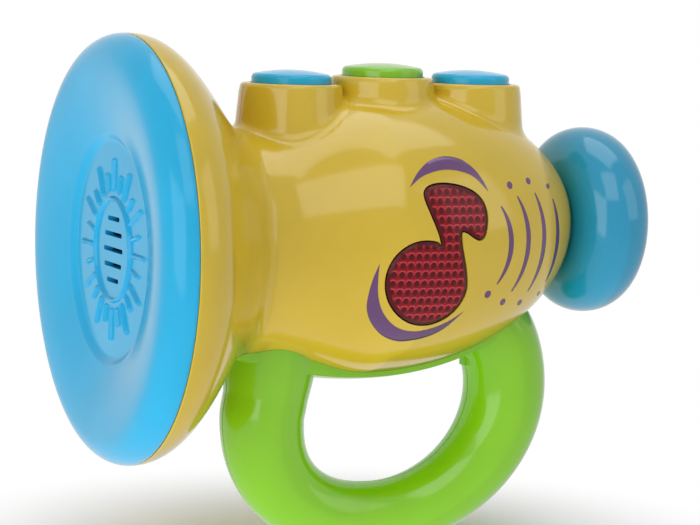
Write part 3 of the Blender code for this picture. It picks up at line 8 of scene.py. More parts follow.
import bpy
import numpy as np
from mathutils import Matrix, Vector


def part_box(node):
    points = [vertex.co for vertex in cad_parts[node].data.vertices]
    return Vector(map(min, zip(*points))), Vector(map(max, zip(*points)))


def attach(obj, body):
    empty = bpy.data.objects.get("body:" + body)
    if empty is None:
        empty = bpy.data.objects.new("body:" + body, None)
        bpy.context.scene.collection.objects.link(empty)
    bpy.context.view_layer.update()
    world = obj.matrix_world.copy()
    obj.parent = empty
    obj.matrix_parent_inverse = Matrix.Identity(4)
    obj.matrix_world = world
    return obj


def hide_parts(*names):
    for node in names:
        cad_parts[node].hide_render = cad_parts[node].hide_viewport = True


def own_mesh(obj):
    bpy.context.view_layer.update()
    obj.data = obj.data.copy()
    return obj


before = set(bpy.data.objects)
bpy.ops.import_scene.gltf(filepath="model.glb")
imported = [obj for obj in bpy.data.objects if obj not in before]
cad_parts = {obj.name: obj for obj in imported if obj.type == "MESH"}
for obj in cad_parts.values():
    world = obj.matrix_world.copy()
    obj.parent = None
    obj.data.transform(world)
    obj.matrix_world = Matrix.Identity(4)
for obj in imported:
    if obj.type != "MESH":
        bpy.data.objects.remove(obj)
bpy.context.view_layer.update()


# The yellow body is two glossy mouldings of ABS, parted along the trumpet's middle plane and screwed together
# from the far side. Its wide flare narrows to a straight neck, swells into the belly and rounds off at the
# mouthpiece, and three round towers for the keys stand on top with a soft fillet round their feet.

SEAM_X = -0.0867
AXIS_Z = 0.1049
BELL_RADIUS = 0.070
FLARE_LENGTH = 0.0385
NECK_RADIUS = 0.0377
SHOULDER_START = 0.045
SHOULDER_END = 0.084
BELLY_STATION = 0.089
BELLY_RADIUS = 0.0471
TAIL_LENGTH = 0.073
AXIS_CLIMB = 0.0081
WALL = 0.0024
GAP = 0.0003
SEAM = 0.00005
REACH = 0.080
CASE_SEAT, CASE_SCREW_LENGTH = 0.014, 0.024
NECK_BORE_RADIUS = 0.0133
PEG_STATIONS = (0.0511, 0.130)
PEG_BORE_RADIUS = 0.0053
COVER_STATIONS = (0.0638, 0.1322)
COVER_HEIGHTS = (-0.01025, 0.01915)
KNOB_SLOT_STATIONS = (0.0457, 0.0563)
KNOB_MIDDLE = 0.049
KNOB_HALF_HEIGHT = 0.0024
TOWER_STATIONS = (0.0581, 0.0915, 0.1249)
TOWER_RADII = (0.0171, 0.0174, 0.0171)
TOWER_TOPS = (0.0546, 0.0573, 0.0554)
TOWER_TAPER = 0.09
TOWER_FILLET = 0.0032
KEY_RADII = (0.0133, 0.01365, 0.0133)
YELLOW = (0.675, 0.475, 0.028)
WINDOW_MIDDLE = (0.0886, -0.0079)
WINDOW_RADIUS = 0.0143
WINDOW_FLAG = (
    (0.24, 0.89), (0.21, 1.07), (0.13, 1.29), (0.02, 1.55), (-0.11, 1.91), (-0.10, 2.10), (0.08, 2.22),
    (0.41, 2.26), (0.83, 2.20), (1.19, 2.05), (1.41, 1.81), (1.48, 1.46), (1.41, 1.10), (1.29, 1.00),
    (1.14, 1.04), (0.96, 1.15), (0.82, 1.20), (0.76, 1.13), (0.78, 0.87), (0.86, 0.57), (0.95, 0.26),
)


def at(station, side, height):
    """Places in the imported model's own frame, as an array whose last axis is x, y, z."""
    station, side, height = np.broadcast_arrays(station, side, height)
    return np.stack([SEAM_X + station, side + 0.0, AXIS_Z + height], axis=-1)


def axis_rise(station):
    """The body's centre line climbs evenly, 8.1 mm over the 171 mm to the mouthpiece's rim."""
    return AXIS_CLIMB / 0.171 * np.clip(station, 0, None)


def ease(share):
    """A smooth step, 3 s squared less 2 s cubed."""
    return share * share * (3 - 2 * share)


def body_radius(station):
    """An eased flare, a straight neck, an eased shoulder, and a tail that is a quarter of an ellipse."""
    flare = (np.clip(station, 0, FLARE_LENGTH) / FLARE_LENGTH) ** 1.2 * 0.97
    shoulder = np.clip((station - SHOULDER_START) / (SHOULDER_END - SHOULDER_START), 0, 1)
    tail = np.clip((station - BELLY_STATION) / TAIL_LENGTH, 0, 1)
    return np.where(
        station <= FLARE_LENGTH,
        BELL_RADIUS + (NECK_RADIUS - BELL_RADIUS) * ease(flare) / ease(0.97),
        NECK_RADIUS * (1 - ease(shoulder)) + BELLY_RADIUS * ease(shoulder) * np.sqrt(1 - tail * tail),
    )


def saddle_radius(station):
    """The ring handle's saddle bridges the neck's dip: a parabola up to the belly, then the body itself."""
    share = np.clip((BELLY_STATION - station) / (BELLY_STATION - FLARE_LENGTH), 0, None)
    before = BELLY_RADIUS + (NECK_RADIUS - BELLY_RADIUS) * share * share
    return np.where(station < BELLY_STATION, before, body_radius(station))


def placed(name, data):
    """A new object in the scene around a mesh, a light or a camera."""
    made = bpy.data.objects.new(name, data)
    bpy.context.scene.collection.objects.link(made)
    return made


def new_piece(name, points, faces):
    """An object from an array of points and a list of faces, turned to face outward by its signed volume."""
    volume = 0.0
    for count in (3, 4):
        picked = np.array([face for face in faces if len(face) == count], int)
        if len(picked):
            for last in range(2, count):
                a, b, c = points[picked[:, 0]], points[picked[:, last - 1]], points[picked[:, last]]
                volume += np.einsum("ij,ij->i", a, np.cross(b, c)).sum()
    if volume < 0:
        faces = [face[::-1] for face in faces]
    mesh = bpy.data.meshes.new(name)
    mesh.from_pydata(points.tolist(), [], faces)
    return placed(name, mesh)


def skin(name, rows, flat_ends=False):
    """A closed surface over rings of points, rows[ring, turn], whose ends close on a pole or as flat faces."""
    rings, turns = rows.shape[:2]
    ring, turn = np.meshgrid(np.arange(rings - 1), np.arange(turns), indexing="ij")
    after = (turn + 1) % turns
    low, high = ring * turns, (ring + 1) * turns
    faces = np.stack([low + turn, low + after, high + after, high + turn], axis=-1).reshape(-1, 4).tolist()
    points = rows.reshape(-1, 3)
    last = (rings - 1) * turns
    around = np.arange(turns)
    if flat_ends:
        faces += [around[::-1].tolist(), (last + around).tolist()]
        return new_piece(name, points, faces)
    points = np.vstack([points, rows[0].mean(0), rows[-1].mean(0)])
    after = (around + 1) % turns
    first_pole, last_pole = np.full(turns, rings * turns), np.full(turns, rings * turns + 1)
    faces += np.stack([first_pole, after, around], axis=-1).tolist()
    faces += np.stack([last_pole, last + around, last + after], axis=-1).tolist()
    return new_piece(name, points, faces)


def body_form(name, offset, stations, facets, radius=body_radius, edge=0.0):
    """The body's surface of revolution about its rising centre line, moved out by offset along its normals.

    A front edge, where one is given, is a quarter of a circle of that radius.
    """
    step = 0.0002
    tilt = np.arctan((radius(stations + step) - radius(np.clip(stations - step, 0, None))) / (2 * step))
    place = stations - offset * np.sin(tilt)
    reach = (radius(stations) + offset * np.cos(tilt))[:, None]
    if edge:
        reach -= edge * (1 - np.sqrt(1 - np.clip(1 - place / edge, 0, 1) ** 2))[:, None]
    turn = (np.arange(facets) + 0.5) * math.tau / facets
    centre = axis_rise(place)[:, None]
    return skin(name, at(place[:, None], reach * np.sin(turn), centre + reach * np.cos(turn)), flat_ends=True)


def lathe(name, profile, middle, axis, facets):
    """A profile of (radius, place along the axis) pairs turned about an axis through the middle."""
    radius, place = np.array(profile).T[:, :, None]
    turn = np.arange(facets) * math.tau / facets
    across, along = radius * np.cos(turn), np.broadcast_to(place, (len(profile), facets))
    other = radius * np.sin(turn)
    order = {"X": (along, across, other), "Y": (across, along, other), "Z": (across, other, along)}[axis]
    return skin(name, np.stack(order, axis=-1) + np.array(middle), flat_ends=True)


def outline_prism(name, outline, near, far):
    """An outline of (station, height) pairs carried along Y from near to far."""
    station, height = np.array(outline).T
    return skin(name, np.stack([at(station, near, height), at(station, far, height)]), flat_ends=True)


def block(name, stations, sides, heights):
    """A plain block between two stations, two side offsets and two heights."""
    (a, b), (c, d) = stations, heights
    return outline_prism(name, [(a, c), (b, c), (b, d), (a, d)], *sides)


def half_space(side):
    """The room on one side of the parting plane, half a gap away from it: -1 is the near side, 1 the far one."""
    return block("half_space", (-0.02, 0.2), sorted((side * GAP / 2, side * REACH)), (-0.12, 0.09))


def solid_steps(made, *steps):
    """Joins, cuts or trims a solid by others in turn, with the manifold solver, and keeps the plain result."""
    for operation, other in steps:
        modifier = made.modifiers.new(operation, "BOOLEAN")
        modifier.operation = operation
        modifier.solver = "MANIFOLD"
        modifier.object = other
    graph = bpy.context.evaluated_depsgraph_get()
    result = bpy.data.meshes.new_from_object(made.evaluated_get(graph))
    made.modifiers.clear()
    made.data = result
    for other in {other for _, other in steps}:
        bpy.data.objects.remove(other)
    return made


def twin(made, name):
    """A second piece of the same shape, with a mesh of its own."""
    copy = made.copy()
    copy.data = made.data.copy()
    copy.name = name
    bpy.context.scene.collection.objects.link(copy)
    return copy


def smooth(made, angle=30):
    """Shades a piece smooth, with a sharp edge wherever two faces meet at more than the angle in degrees."""
    made.data.shade_smooth()
    made.data.set_sharp_from_angle(angle=math.radians(angle))
    return made


def through(points, steps, closed=False):
    """A smooth curve through points: a Catmull-Rom cubic on each stretch, sampled steps times."""
    points = np.array(points, float)
    if closed:
        before, after, last = np.roll(points, 1, 0), np.roll(points, -1, 0), np.roll(points, -2, 0)
        start = points
    else:
        padded = np.vstack([2 * points[0] - points[1], points, 2 * points[-1] - points[-2]])
        before, start, after, last = padded[:-3], padded[1:-2], padded[2:-1], padded[3:]
    t = (np.arange(steps) / steps)[None, :, None]
    a, b, c, d = (array[:, None, :] for array in (before, start, after, last))
    curve = 0.5 * (2 * b + (c - a) * t + (2 * a - 5 * b + 4 * c - d) * t**2 + (3 * b - a - 3 * c + d) * t**3)
    curve = curve.reshape(-1, points.shape[1])
    return curve if closed else np.vstack([curve, points[-1]])


def evenly(path, count):
    """Points spaced evenly by length along a path."""
    length = np.concatenate([[0], np.cumsum(np.hypot(*np.diff(path, axis=0).T))])
    even = np.linspace(0, length[-1], count)
    return np.stack([np.interp(even, length, path[:, 0]), np.interp(even, length, path[:, 1])], -1)


def arc(middle, radii, first, last, steps):
    """Points of an elliptical arc between two angles in degrees."""
    angle = np.radians(np.linspace(first, last, steps + 1))
    return np.stack([middle[0] + radii[0] * np.cos(angle), middle[1] + radii[1] * np.sin(angle)], axis=-1)


def window_outline(grow):
    """The note window's outline, moved outward by grow.

    Its head is an oval whose radius swings by 7% twice a turn, and its stem and flag run through points.
    """
    angle = np.radians(np.linspace(-8, -276, 15))
    reach = 1 + 0.07 * np.cos(2 * (angle + math.radians(35)))
    head = np.stack([reach * np.cos(angle), reach * np.sin(angle)], axis=-1)
    loop = through(np.vstack([head, WINDOW_FLAG]) * WINDOW_RADIUS, 4, closed=True)
    along = np.roll(loop, -1, 0) - np.roll(loop, 1, 0)
    along /= np.linalg.norm(along, axis=1, keepdims=True)
    return loop + grow * np.stack([-along[:, 1], along[:, 0]], axis=-1) + np.array(WINDOW_MIDDLE)


def tower(name, index, facets=112):
    """One tower: its height over its own middle as a ring of points for each row of a section that runs in from
    the top, over the rounded edge, down the tapered wall and out along a quarter-round fillet to the body.
    """
    station, radius, top = TOWER_STATIONS[index], TOWER_RADII[index], TOWER_TOPS[index]
    turn = np.arange(facets) * math.tau / facets
    along, aside = np.cos(turn), np.sin(turn)

    def surface(reach):
        """The body's height all round the tower's middle, at a distance from it."""
        place = station + reach * along
        return axis_rise(place) + np.sqrt(np.clip(body_radius(place) ** 2 - (reach * aside) ** 2, 0, None))

    foot = np.full(facets, 0.040)
    for _ in range(40):
        reach = radius + TOWER_TAPER * (top - foot)
        foot = surface(reach)
    edge = 0.0015
    rows = [(np.full(facets, r), np.full(facets, h)) for r, h in ((radius * 0.5, top), (radius - edge, top))]
    for r, h in arc((radius - edge, top - edge), (edge, edge), 90, 0, 5)[1:]:
        rows.append((np.full(facets, r), np.full(facets, h)))
    start = np.minimum(foot + TOWER_FILLET, top - edge - 0.001)
    for share in np.linspace(0, 1, 8)[1:]:
        height = (top - edge) * (1 - share) + start * share
        rows.append((radius + TOWER_TAPER * (top - height), height))
    wall_end = radius + TOWER_TAPER * (top - start)
    for t in np.linspace(0, 1, 9)[1:]:
        out = (1 - t) ** 2 * wall_end + 2 * t * (1 - t) * reach + t * t * (reach + TOWER_FILLET)
        end = surface(reach + TOWER_FILLET)
        rows.append((out, (1 - t) ** 2 * start + 2 * t * (1 - t) * foot + t * t * end - 0.00004 * t))
    rows.append((reach + TOWER_FILLET + 0.0006, surface(reach + TOWER_FILLET + 0.0006) - 0.0008))
    rows.append((reach * 0.5, foot - 0.012))
    grid = np.stack([at(station + r * along, r * aside, h) for r, h in rows])
    return skin(name, grid)


def screw_bore(name, station, height, seat, length):
    """Room for a screw along Y: a narrow bore for its shank, and a wide one from its seat out to the far side."""
    profile = [(0.0018, seat - length - GAP), (0.0018, seat), (0.0032, seat), (0.0032, REACH)]
    return lathe(name, profile, at(station, 0, height), "Y", 24)


def case_screw_places():
    """Two screws beside the flare's axis and two in the tail, above and below the centre line."""
    pairs = [(0.033, -0.024), (0.033, 0.024), (0.139, -0.019), (0.139, 0.019)]
    return [(s, float(axis_rise(s)) + h) for s, h in pairs]


def shading(name):
    """A new material with its nodes, its links, its shader and the piece's own coordinates."""
    material = bpy.data.materials.new(name)
    material.use_nodes = True
    nodes, links = material.node_tree.nodes, material.node_tree.links
    place = nodes.new("ShaderNodeTexCoord").outputs["Object"]
    return material, nodes, links, nodes["Principled BSDF"], place


def noise(nodes, links, place, scale, detail):
    """Cloudy noise from 0 to 1, finer with a larger scale and rougher with more detail."""
    made = nodes.new("ShaderNodeTexNoise")
    made.inputs["Scale"].default_value = scale
    made.inputs["Detail"].default_value = detail
    links.new(place, made.inputs["Vector"])
    return made.outputs["Fac"]


def shades(nodes, links, share, *stops):
    """Colours that follow a share, blended evenly between stops given as (position, colour) pairs."""
    ramp = nodes.new("ShaderNodeValToRGB")
    elements = ramp.color_ramp.elements
    for index, (position, colour) in enumerate(stops):
        stop = elements[index] if index < 2 else elements.new(position)
        stop.position, stop.color = position, (*colour, 1)
    links.new(share, ramp.inputs["Fac"])
    return ramp.outputs["Color"]


def ranged(nodes, links, value, before, after):
    """A value carried evenly from one range to another, and held at its ends."""
    made = nodes.new("ShaderNodeMapRange")
    for word, numbers in (("From", before), ("To", after)):
        made.inputs[f"{word} Min"].default_value, made.inputs[f"{word} Max"].default_value = numbers
    links.new(value, made.inputs["Value"])
    return made.outputs["Result"]


def bumped(nodes, links, shader, height, strength, distance):
    """Gives a shader small bumps that follow a height."""
    made = nodes.new("ShaderNodeBump")
    made.inputs["Strength"].default_value = strength
    made.inputs["Distance"].default_value = distance
    links.new(height, made.inputs["Height"])
    links.new(made.outputs["Normal"], shader.inputs["Normal"])
    return made


def moulded(name, colour, roughness, mottle=0.035, peel=0.02, shine=0.5, clear=0.0):
    """Glossy moulded plastic: faint cloudy changes of shade, gloss that varies, and a skin not quite flat."""
    material, nodes, links, shader, place = shading(name)
    dark, pale = [c * (1 - mottle) for c in colour], [min(c * (1 + mottle), 1) for c in colour]
    clouds = noise(nodes, links, place, 42, 4)
    links.new(shades(nodes, links, clouds, (0.3, dark), (0.7, pale)), shader.inputs["Base Color"])
    handling = noise(nodes, links, place, 180, 6)
    gloss = ranged(nodes, links, handling, (0, 1), (roughness * 0.75, roughness * 1.35))
    links.new(gloss, shader.inputs["Roughness"])
    bumped(nodes, links, shader, noise(nodes, links, place, 650, 2), peel, 0.0005)
    shader.inputs["IOR"].default_value = 1.5
    shader.inputs["Specular IOR Level"].default_value = shine
    shader.inputs["Transmission Weight"].default_value = clear
    return material


def dress(made, material, body, slot, *nodes):
    """Gives a piece its material and its CAD body, and hides the CAD nodes that it stands for; the slot is not used.
    """
    made.data.materials.clear()
    made.data.materials.append(material)
    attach(made, body)
    if nodes:
        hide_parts(*nodes)
    return made


fine = np.unique(np.concatenate([
    [SEAM, 0.00012, 0.00025, 0.0004],
    np.linspace(0.0006, FLARE_LENGTH, 40),
    np.linspace(FLARE_LENGTH, BELLY_STATION, 46),
    BELLY_STATION + TAIL_LENGTH * np.sin(np.linspace(0, math.asin(0.068 / TAIL_LENGTH), 60)),
]))
coarse = fine[::4]
shell = body_form("body_outer", 0, fine, 168, edge=0.0004)
hollow_stations = np.concatenate([[0.0], coarse[coarse < 0.150]])
hollow = body_form("body_hollow", -WALL, hollow_stations, 72)
front_hollow = lathe("front_hollow", [(0.066, -0.004), (0.066, 0.0012)], at(0, 0, 0), "X", 72)
for index in range(3):
    hollow_top = TOWER_TOPS[index] - 0.002
    room = TOWER_RADII[index] - 0.002
    foot = 0.004
    profile = [(room + TOWER_TAPER * (hollow_top - foot), foot), (room, hollow_top)]
    tower_hollow = lathe(f"tower_hollow_{index}", profile, at(TOWER_STATIONS[index], 0, 0), "Z", 64)
    solid_steps(hollow, ("UNION", tower_hollow))
bosses = []
for index, (station, height) in enumerate(case_screw_places()):
    profile = [(0.0056, -0.075), (0.0056, 0.075)]
    bosses.append(("DIFFERENCE", lathe(f"case_boss_{index}", profile, at(station, 0, height), "Y", 28)))
solid_steps(hollow, *bosses)
steps = [("UNION", tower(f"tower_{index}", index)) for index in range(3)]
steps += [("DIFFERENCE", hollow), ("DIFFERENCE", front_hollow)]
for index in range(3):
    radius, top = KEY_RADII[index] + GAP, TOWER_TOPS[index]
    profile = [(radius, top - 0.004), (radius, top - 0.0003), (radius + 0.0003, top)]
    profile.append((radius + 0.0013, top + 0.001))
    bore = lathe(f"key_bore_{index}", profile, at(TOWER_STATIONS[index], 0, 0), "Z", 112)
    steps.append(("DIFFERENCE", bore))
neck = [(NECK_BORE_RADIUS, 0.1498), (NECK_BORE_RADIUS, 0.1610)]
steps.append(("DIFFERENCE", lathe("neck_bore", neck, at(0, 0, AXIS_CLIMB), "X", 64)))
peg_bore = [(PEG_BORE_RADIUS, -0.060), (PEG_BORE_RADIUS, -0.020)]
for station in PEG_STATIONS:
    steps.append(("DIFFERENCE", lathe("peg_bore", peg_bore, at(station, 0, 0), "Z", 32)))
for index, (station, height) in enumerate(case_screw_places()):
    bore = screw_bore(f"case_bore_{index}", station, height, CASE_SEAT, CASE_SCREW_LENGTH)
    steps.append(("DIFFERENCE", bore))
solid_steps(shell, *steps)

yellow = moulded("yellow_plastic_moulded", YELLOW, 0.13)
near_half = twin(shell, "body_moulding_near")
lens_bore = outline_prism("lens_bore", window_outline(GAP + 0.0001), -REACH, -0.015)
solid_steps(near_half, ("INTERSECT", half_space(-1)), ("DIFFERENCE", lens_bore))
far_half = shell
far_half.name = "body_moulding_far"
stations, heights = [(low - GAP, high + GAP) for low, high in (COVER_STATIONS, COVER_HEIGHTS)]
battery_bore = block("battery_bore", stations, (0.017, REACH), heights)
knob_height = float(axis_rise(0.051))
knob_room = KNOB_HALF_HEIGHT + GAP
heights = (knob_height - knob_room, knob_height + knob_room)
knob_bore = block("knob_bore", KNOB_SLOT_STATIONS, (0.033, REACH), heights)
far_steps = [("INTERSECT", half_space(1)), ("DIFFERENCE", battery_bore), ("DIFFERENCE", knob_bore)]
solid_steps(far_half, *far_steps)
dress(smooth(near_half), yellow, "trumpet", "yellow_plastic", "body_near")
dress(smooth(far_half), yellow, "trumpet", "yellow_plastic", "body_far")


# The bell cap is a sky-blue moulding pressed over the flare's rim. A wide rounded lip slopes down to a round
# dish, whose floor carries a plain ring and rays in low relief round level slots that let the sound out.

CAP_DEPTH = 0.0095
DISH_RADIUS = 0.0347
DISH_FLOOR = -0.0031
DISH_EDGE_RADIUS = 0.0383
DISH_EDGE = -0.0052
CAP_LIP = 0.0090
BLUE = (0.018, 0.455, 0.785)
RELIEF_HEIGHT = 0.0011
RIDGE_WIDTH = 1.7
RING_RADIUS = 16.5
RAY_PAIRS = 12
LONG_RAY = (19.6, 29.0)
SHORT_RAY = (19.6, 24.6)
FLOOR_ROWS = 112
SLOTS = ((-10.0, 11.0), (-5.0, 16.0), (0.0, 18.0), (5.0, 16.0), (10.0, 11.0))
SLOT_RADIUS = 0.75


def loop_distance(points, loop):
    """Distance from points to a closed outline, over all its stretches at once; positive inside it."""
    start, end = loop, np.roll(loop, -1, 0)
    edge = end - start
    offset_x = points[:, :1] - start[:, 0]
    offset_y = points[:, 1:] - start[:, 1]
    share = np.clip((offset_x * edge[:, 0] + offset_y * edge[:, 1]) / (edge * edge).sum(1), 0, 1)
    nearest = np.hypot(offset_x - share * edge[:, 0], offset_y - share * edge[:, 1]).min(1)
    crossed = (offset_y < 0) != (points[:, 1:] < end[:, 1])
    slope = edge[:, 0] / np.where(edge[:, 1] == 0, 1, edge[:, 1])
    inside = (crossed & (offset_x < offset_y * slope)).sum(1) % 2 == 1
    return np.where(inside, nearest, -nearest)


def relief_height(places):
    """Height of the dish's relief, from 0 to 1, at places in millimetres across and up.

    A ring and straight rays, long and short by turns, each a ridge whose section is a parabola. Every place is
    turned into one ray's sector, and its distance to that ray's stretch is taken there.
    """
    out = np.hypot(places[:, 0], places[:, 1])
    angle = np.arctan2(places[:, 0], places[:, 1])
    sector = math.tau / RAY_PAIRS
    nearest = np.abs(out - RING_RADIUS)
    for start, (first, last) in ((0, LONG_RAY), (sector / 2, SHORT_RAY)):
        turned = (angle - start + sector / 2) % sector - sector / 2
        along = out * np.cos(turned)
        past_end = np.maximum(np.maximum(first - along, along - last), 0)
        nearest = np.minimum(nearest, np.hypot(past_end, out * np.sin(turned)))
    return np.clip(1 - (2 * nearest / RIDGE_WIDTH) ** 2, 0, 1)


def cap_section():
    """The cap's section as (radius, station): floor, an eased step, slope, quarter-ellipse lip, side and back."""
    floor = np.stack([np.linspace(0.0004, DISH_RADIUS, FLOOR_ROWS), np.full(FLOOR_ROWS, DISH_FLOOR)], -1)
    share = np.linspace(0, 1, 13)[1:]
    step = np.stack([DISH_RADIUS + (DISH_EDGE_RADIUS - DISH_RADIUS) * share,
                     DISH_FLOOR + (DISH_EDGE - DISH_FLOOR) * ease(share)], -1)
    lip = BELL_RADIUS - CAP_LIP
    share = np.linspace(0, 1, 14)[1:]
    slope = np.stack([DISH_EDGE_RADIUS + (lip - 0.0008 - DISH_EDGE_RADIUS) * share,
                      DISH_EDGE - 0.0043 * (1 - (1 - share) ** 1.5)], -1)
    outer = arc((lip, -0.0002), (CAP_LIP, CAP_DEPTH - 0.0002), 270, 356, 20)
    side = [(BELL_RADIUS - 0.0001, -0.0005), (BELL_RADIUS - 0.0004, -SEAM), (0.0600, -SEAM)]
    return np.vstack([floor, step, slope, outer, side])


section = cap_section()
turns = 540
turn = np.arange(turns) * math.tau / turns
across = section[:, :1] * np.sin(turn)
upward = section[:, :1] * np.cos(turn)
station = np.repeat(section[:, 1:], turns, axis=1)
places = np.stack([across[:FLOOR_ROWS].ravel(), upward[:FLOOR_ROWS].ravel()], -1) * 1000
station[:FLOOR_ROWS] -= RELIEF_HEIGHT * relief_height(places).reshape(FLOOR_ROWS, turns)
cap = skin("bell_cap_moulding", at(station, -across, upward))
cap_hollow = lathe("cap_hollow", [(0.0253, 0.001), (0.0253, -0.0003), (0.0340, -0.0003), (0.0600, -0.0062),
                                  (0.0655, -0.0040), (0.0655, 0.001)], at(0, 0, 0), "X", 96)
cuts = []
for index, (height, length) in enumerate(SLOTS):
    half, round_end = length / 2 - SLOT_RADIUS, (SLOT_RADIUS, SLOT_RADIUS)
    ends = [arc((half, height), round_end, -90, 90, 8), arc((-half, height), round_end, 90, 270, 8)]
    loop = np.vstack(ends) / 1000
    rows = np.stack([at(s, -loop[:, 0], loop[:, 1]) for s in (-0.02, 0.01)])
    cuts.append(("DIFFERENCE", skin(f"sound_slot_{index}", rows, flat_ends=True)))
solid_steps(cap, ("DIFFERENCE", cap_hollow), *cuts)
blue = moulded("blue_plastic_moulded", BLUE, 0.15, shine=0.28)
dress(smooth(cap, 32), blue, "trumpet", "blue_plastic", "bell_cap")


# The mouthpiece is one blue moulding: a round bowl that swells from its neck to a thick rolled lip round a
# shallow cup. Its flanged neck is trapped between the two halves of the body.

MOUTH_STATION = 0.171
BOWL_RADIUS = 0.0324
BOWL_DEPTH = 0.01365
LIP_RADII = (0.0093, 0.0119)
CUP = ((23.1, 182.9), (21.5, 182.2), (17.6, 178.4), (13.9, 172.7), (9.7, 169.0), (0.6, 167.9))
# The mouthpiece's colour is the cap's blue made darker: painted shade on the same blue plastic.
SHADED_BLUE = (0.006, 0.30, 0.51)

swell = np.linspace(0.085, math.pi / 2, 40)[:-1]
bowl = np.stack([BOWL_RADIUS * np.sin(swell) ** (1 / 2.75), MOUTH_STATION - BOWL_DEPTH * np.cos(swell)], -1)
lip = arc((BOWL_RADIUS - LIP_RADII[0], MOUTH_STATION), LIP_RADII, 0, 90, 22)
cup = through(CUP, 8)[1:] / 1000
back = np.array([(0.0006, 0.1655), (0.0104, 0.1655), (0.0104, 0.1518), (0.0160, 0.1518), (0.0160, 0.1540),
                 (0.0130, 0.1540), (0.0130, 0.1571)])
mouthpiece = lathe("mouthpiece_moulding", np.vstack([back, bowl, lip, cup]), at(0, 0, AXIS_CLIMB), "X", 144)
shaded_blue = moulded("mouth_blue_moulded", SHADED_BLUE, 0.13)
dress(smooth(mouthpiece, 32), shaded_blue, "trumpet", "blue_plastic", "mouthpiece")


# The ring handle is two green mouldings screwed together round a hollow. It is thickest at its legs and thins
# to the grip, its saddle lies under the belly, and a peg at each end locks inside the body.

LEG_STATION = 0.0511
FAR_LEG_STATION = 0.1423
BOTTOM_STATION = 0.0920
LEG_FOOT = -0.0500
HANDLE_DROP = 0.0931
HANDLE_SEAT, HANDLE_SCREW_LENGTH = 0.005, 0.013
GREEN = (0.23, 0.58, 0.006)


def handle_path(count):
    """The ring's centre line: a leaning leg, two quarters of superellipses and a hooked leg, spaced evenly."""
    turn = np.linspace(0, math.pi / 2, 60)
    side, low = LEG_STATION - 0.0004, LEG_FOOT - 0.0070
    lean = through([(LEG_STATION + 0.0020, -0.030), (LEG_STATION + 0.0016, -0.041), (LEG_STATION + 0.0007, -0.050),
                    (side + 0.00005, low + 0.001)], 8)
    left = np.stack([BOTTOM_STATION - (BOTTOM_STATION - side) * np.cos(turn) ** (2 / 2.28),
                     low - (HANDLE_DROP + low) * np.sin(turn) ** (2 / 2.28)], -1)
    right = np.stack([BOTTOM_STATION + (FAR_LEG_STATION - BOTTOM_STATION) * np.cos(turn) ** (2 / 1.97),
                      LEG_FOOT - (HANDLE_DROP + LEG_FOOT) * np.sin(turn) ** (2 / 1.97)], -1)[::-1]
    hook = arc((FAR_LEG_STATION - 0.022, LEG_FOOT), (0.022, 0.030), 0, 62, 20)[1:]
    return evenly(np.vstack([lean, left, right[1:], hook]), count)


def handle_bar(name, inset, count, facets):
    """The round bar along the ring: 11.8 mm in radius at the bottom, 14.3 mm at the legs, wider at the near root.

    Each half's edge at the parting plane is rounded off, as a quarter of a circle, which leaves a fine groove.
    """
    path = handle_path(count)
    along = np.gradient(path, axis=0)
    for _ in range(3):
        along[1:-1] = (along[:-2] + 2 * along[1:-1] + along[2:]) / 4
    along /= np.linalg.norm(along, axis=1, keepdims=True)
    share = np.clip((path[:, 1] + HANDLE_DROP) / (LEG_FOOT + HANDLE_DROP), 0, 1)
    root = np.where(path[:, 0] < BOTTOM_STATION, np.clip((path[:, 1] - LEG_FOOT) / 0.020, 0, 1), 0)
    radius = (0.0118 + 0.0025 * share * (2 - share) + 0.0028 * root - inset)[:, None]
    half = np.concatenate([[0.0115, 0.018, 0.026, 0.038], np.linspace(0.08, math.pi - 0.08, facets // 2)])
    half = np.concatenate([half, math.pi - half[3::-1]])
    turn = np.concatenate([half, half + math.pi])
    parting = np.clip(1 - radius * np.abs(np.sin(turn)) / 0.0005, 0, 1)
    radius = radius - 0.00035 * (1 - np.sqrt(1 - parting * parting))
    station = path[:, :1] - along[:, 1:] * radius * np.cos(turn)
    height = path[:, 1:] + along[:, :1] * radius * np.cos(turn)
    return skin(name, at(station, radius * np.sin(turn), height), flat_ends=True)


seat_stations = np.linspace(0.002, 0.1555, 90)
seat = body_form("handle_seat", SEAM, seat_stations, 144)
saddle = body_form("handle_saddle", GAP + 0.0015, seat_stations, 144, saddle_radius)
saddle_space = block("saddle_space", (0.036, 0.135), (-0.0135, 0.0135), (-0.060, -0.020))
solid_steps(saddle, ("INTERSECT", saddle_space))
ring = handle_bar("handle_ring", 0, 190, 72)
steps = [("UNION", saddle), ("DIFFERENCE", seat)]
for index, station in enumerate(PEG_STATIONS):
    low, high = ((-0.0395, -0.0330), (-0.0420, -0.0250))[index]
    peg = [(PEG_BORE_RADIUS - GAP, low), (PEG_BORE_RADIUS - GAP, high)]
    steps.append(("UNION", lathe(f"handle_peg_{index}", peg, at(station, 0, 0), "Z", 28)))
handle_screws = ((LEG_STATION, LEG_FOOT), (BOTTOM_STATION, -HANDLE_DROP), (FAR_LEG_STATION, LEG_FOOT))
for index, (station, height) in enumerate(handle_screws):
    bore = screw_bore(f"handle_bore_{index}", station, height, HANDLE_SEAT, HANDLE_SCREW_LENGTH)
    steps.append(("DIFFERENCE", bore))
solid_steps(ring, *steps)
green = moulded("green_plastic_moulded", GREEN, 0.14)
for name, side, node in (("handle_moulding_near", -1, "handle_near"), ("handle_moulding_far", 1, "handle_far")):
    half = twin(ring, name)
    solid_steps(half, ("INTERSECT", half_space(side)))
    dress(smooth(half), green, "trumpet", "green_plastic", node)
bpy.data.objects.remove(ring)


# The note window is a red see-through moulding with a smooth rim and rows of small domed cells that scatter
# the light of the lamps behind it; each cell carries a painted highlight along its upper edge. It fills its
# opening in the near half, flush with the yellow.

CELL_PITCH = (0.0027, 0.00295)
WINDOW_RISE = 0.0004
RIM_DEPTHS = (0.0010, 0.0014)


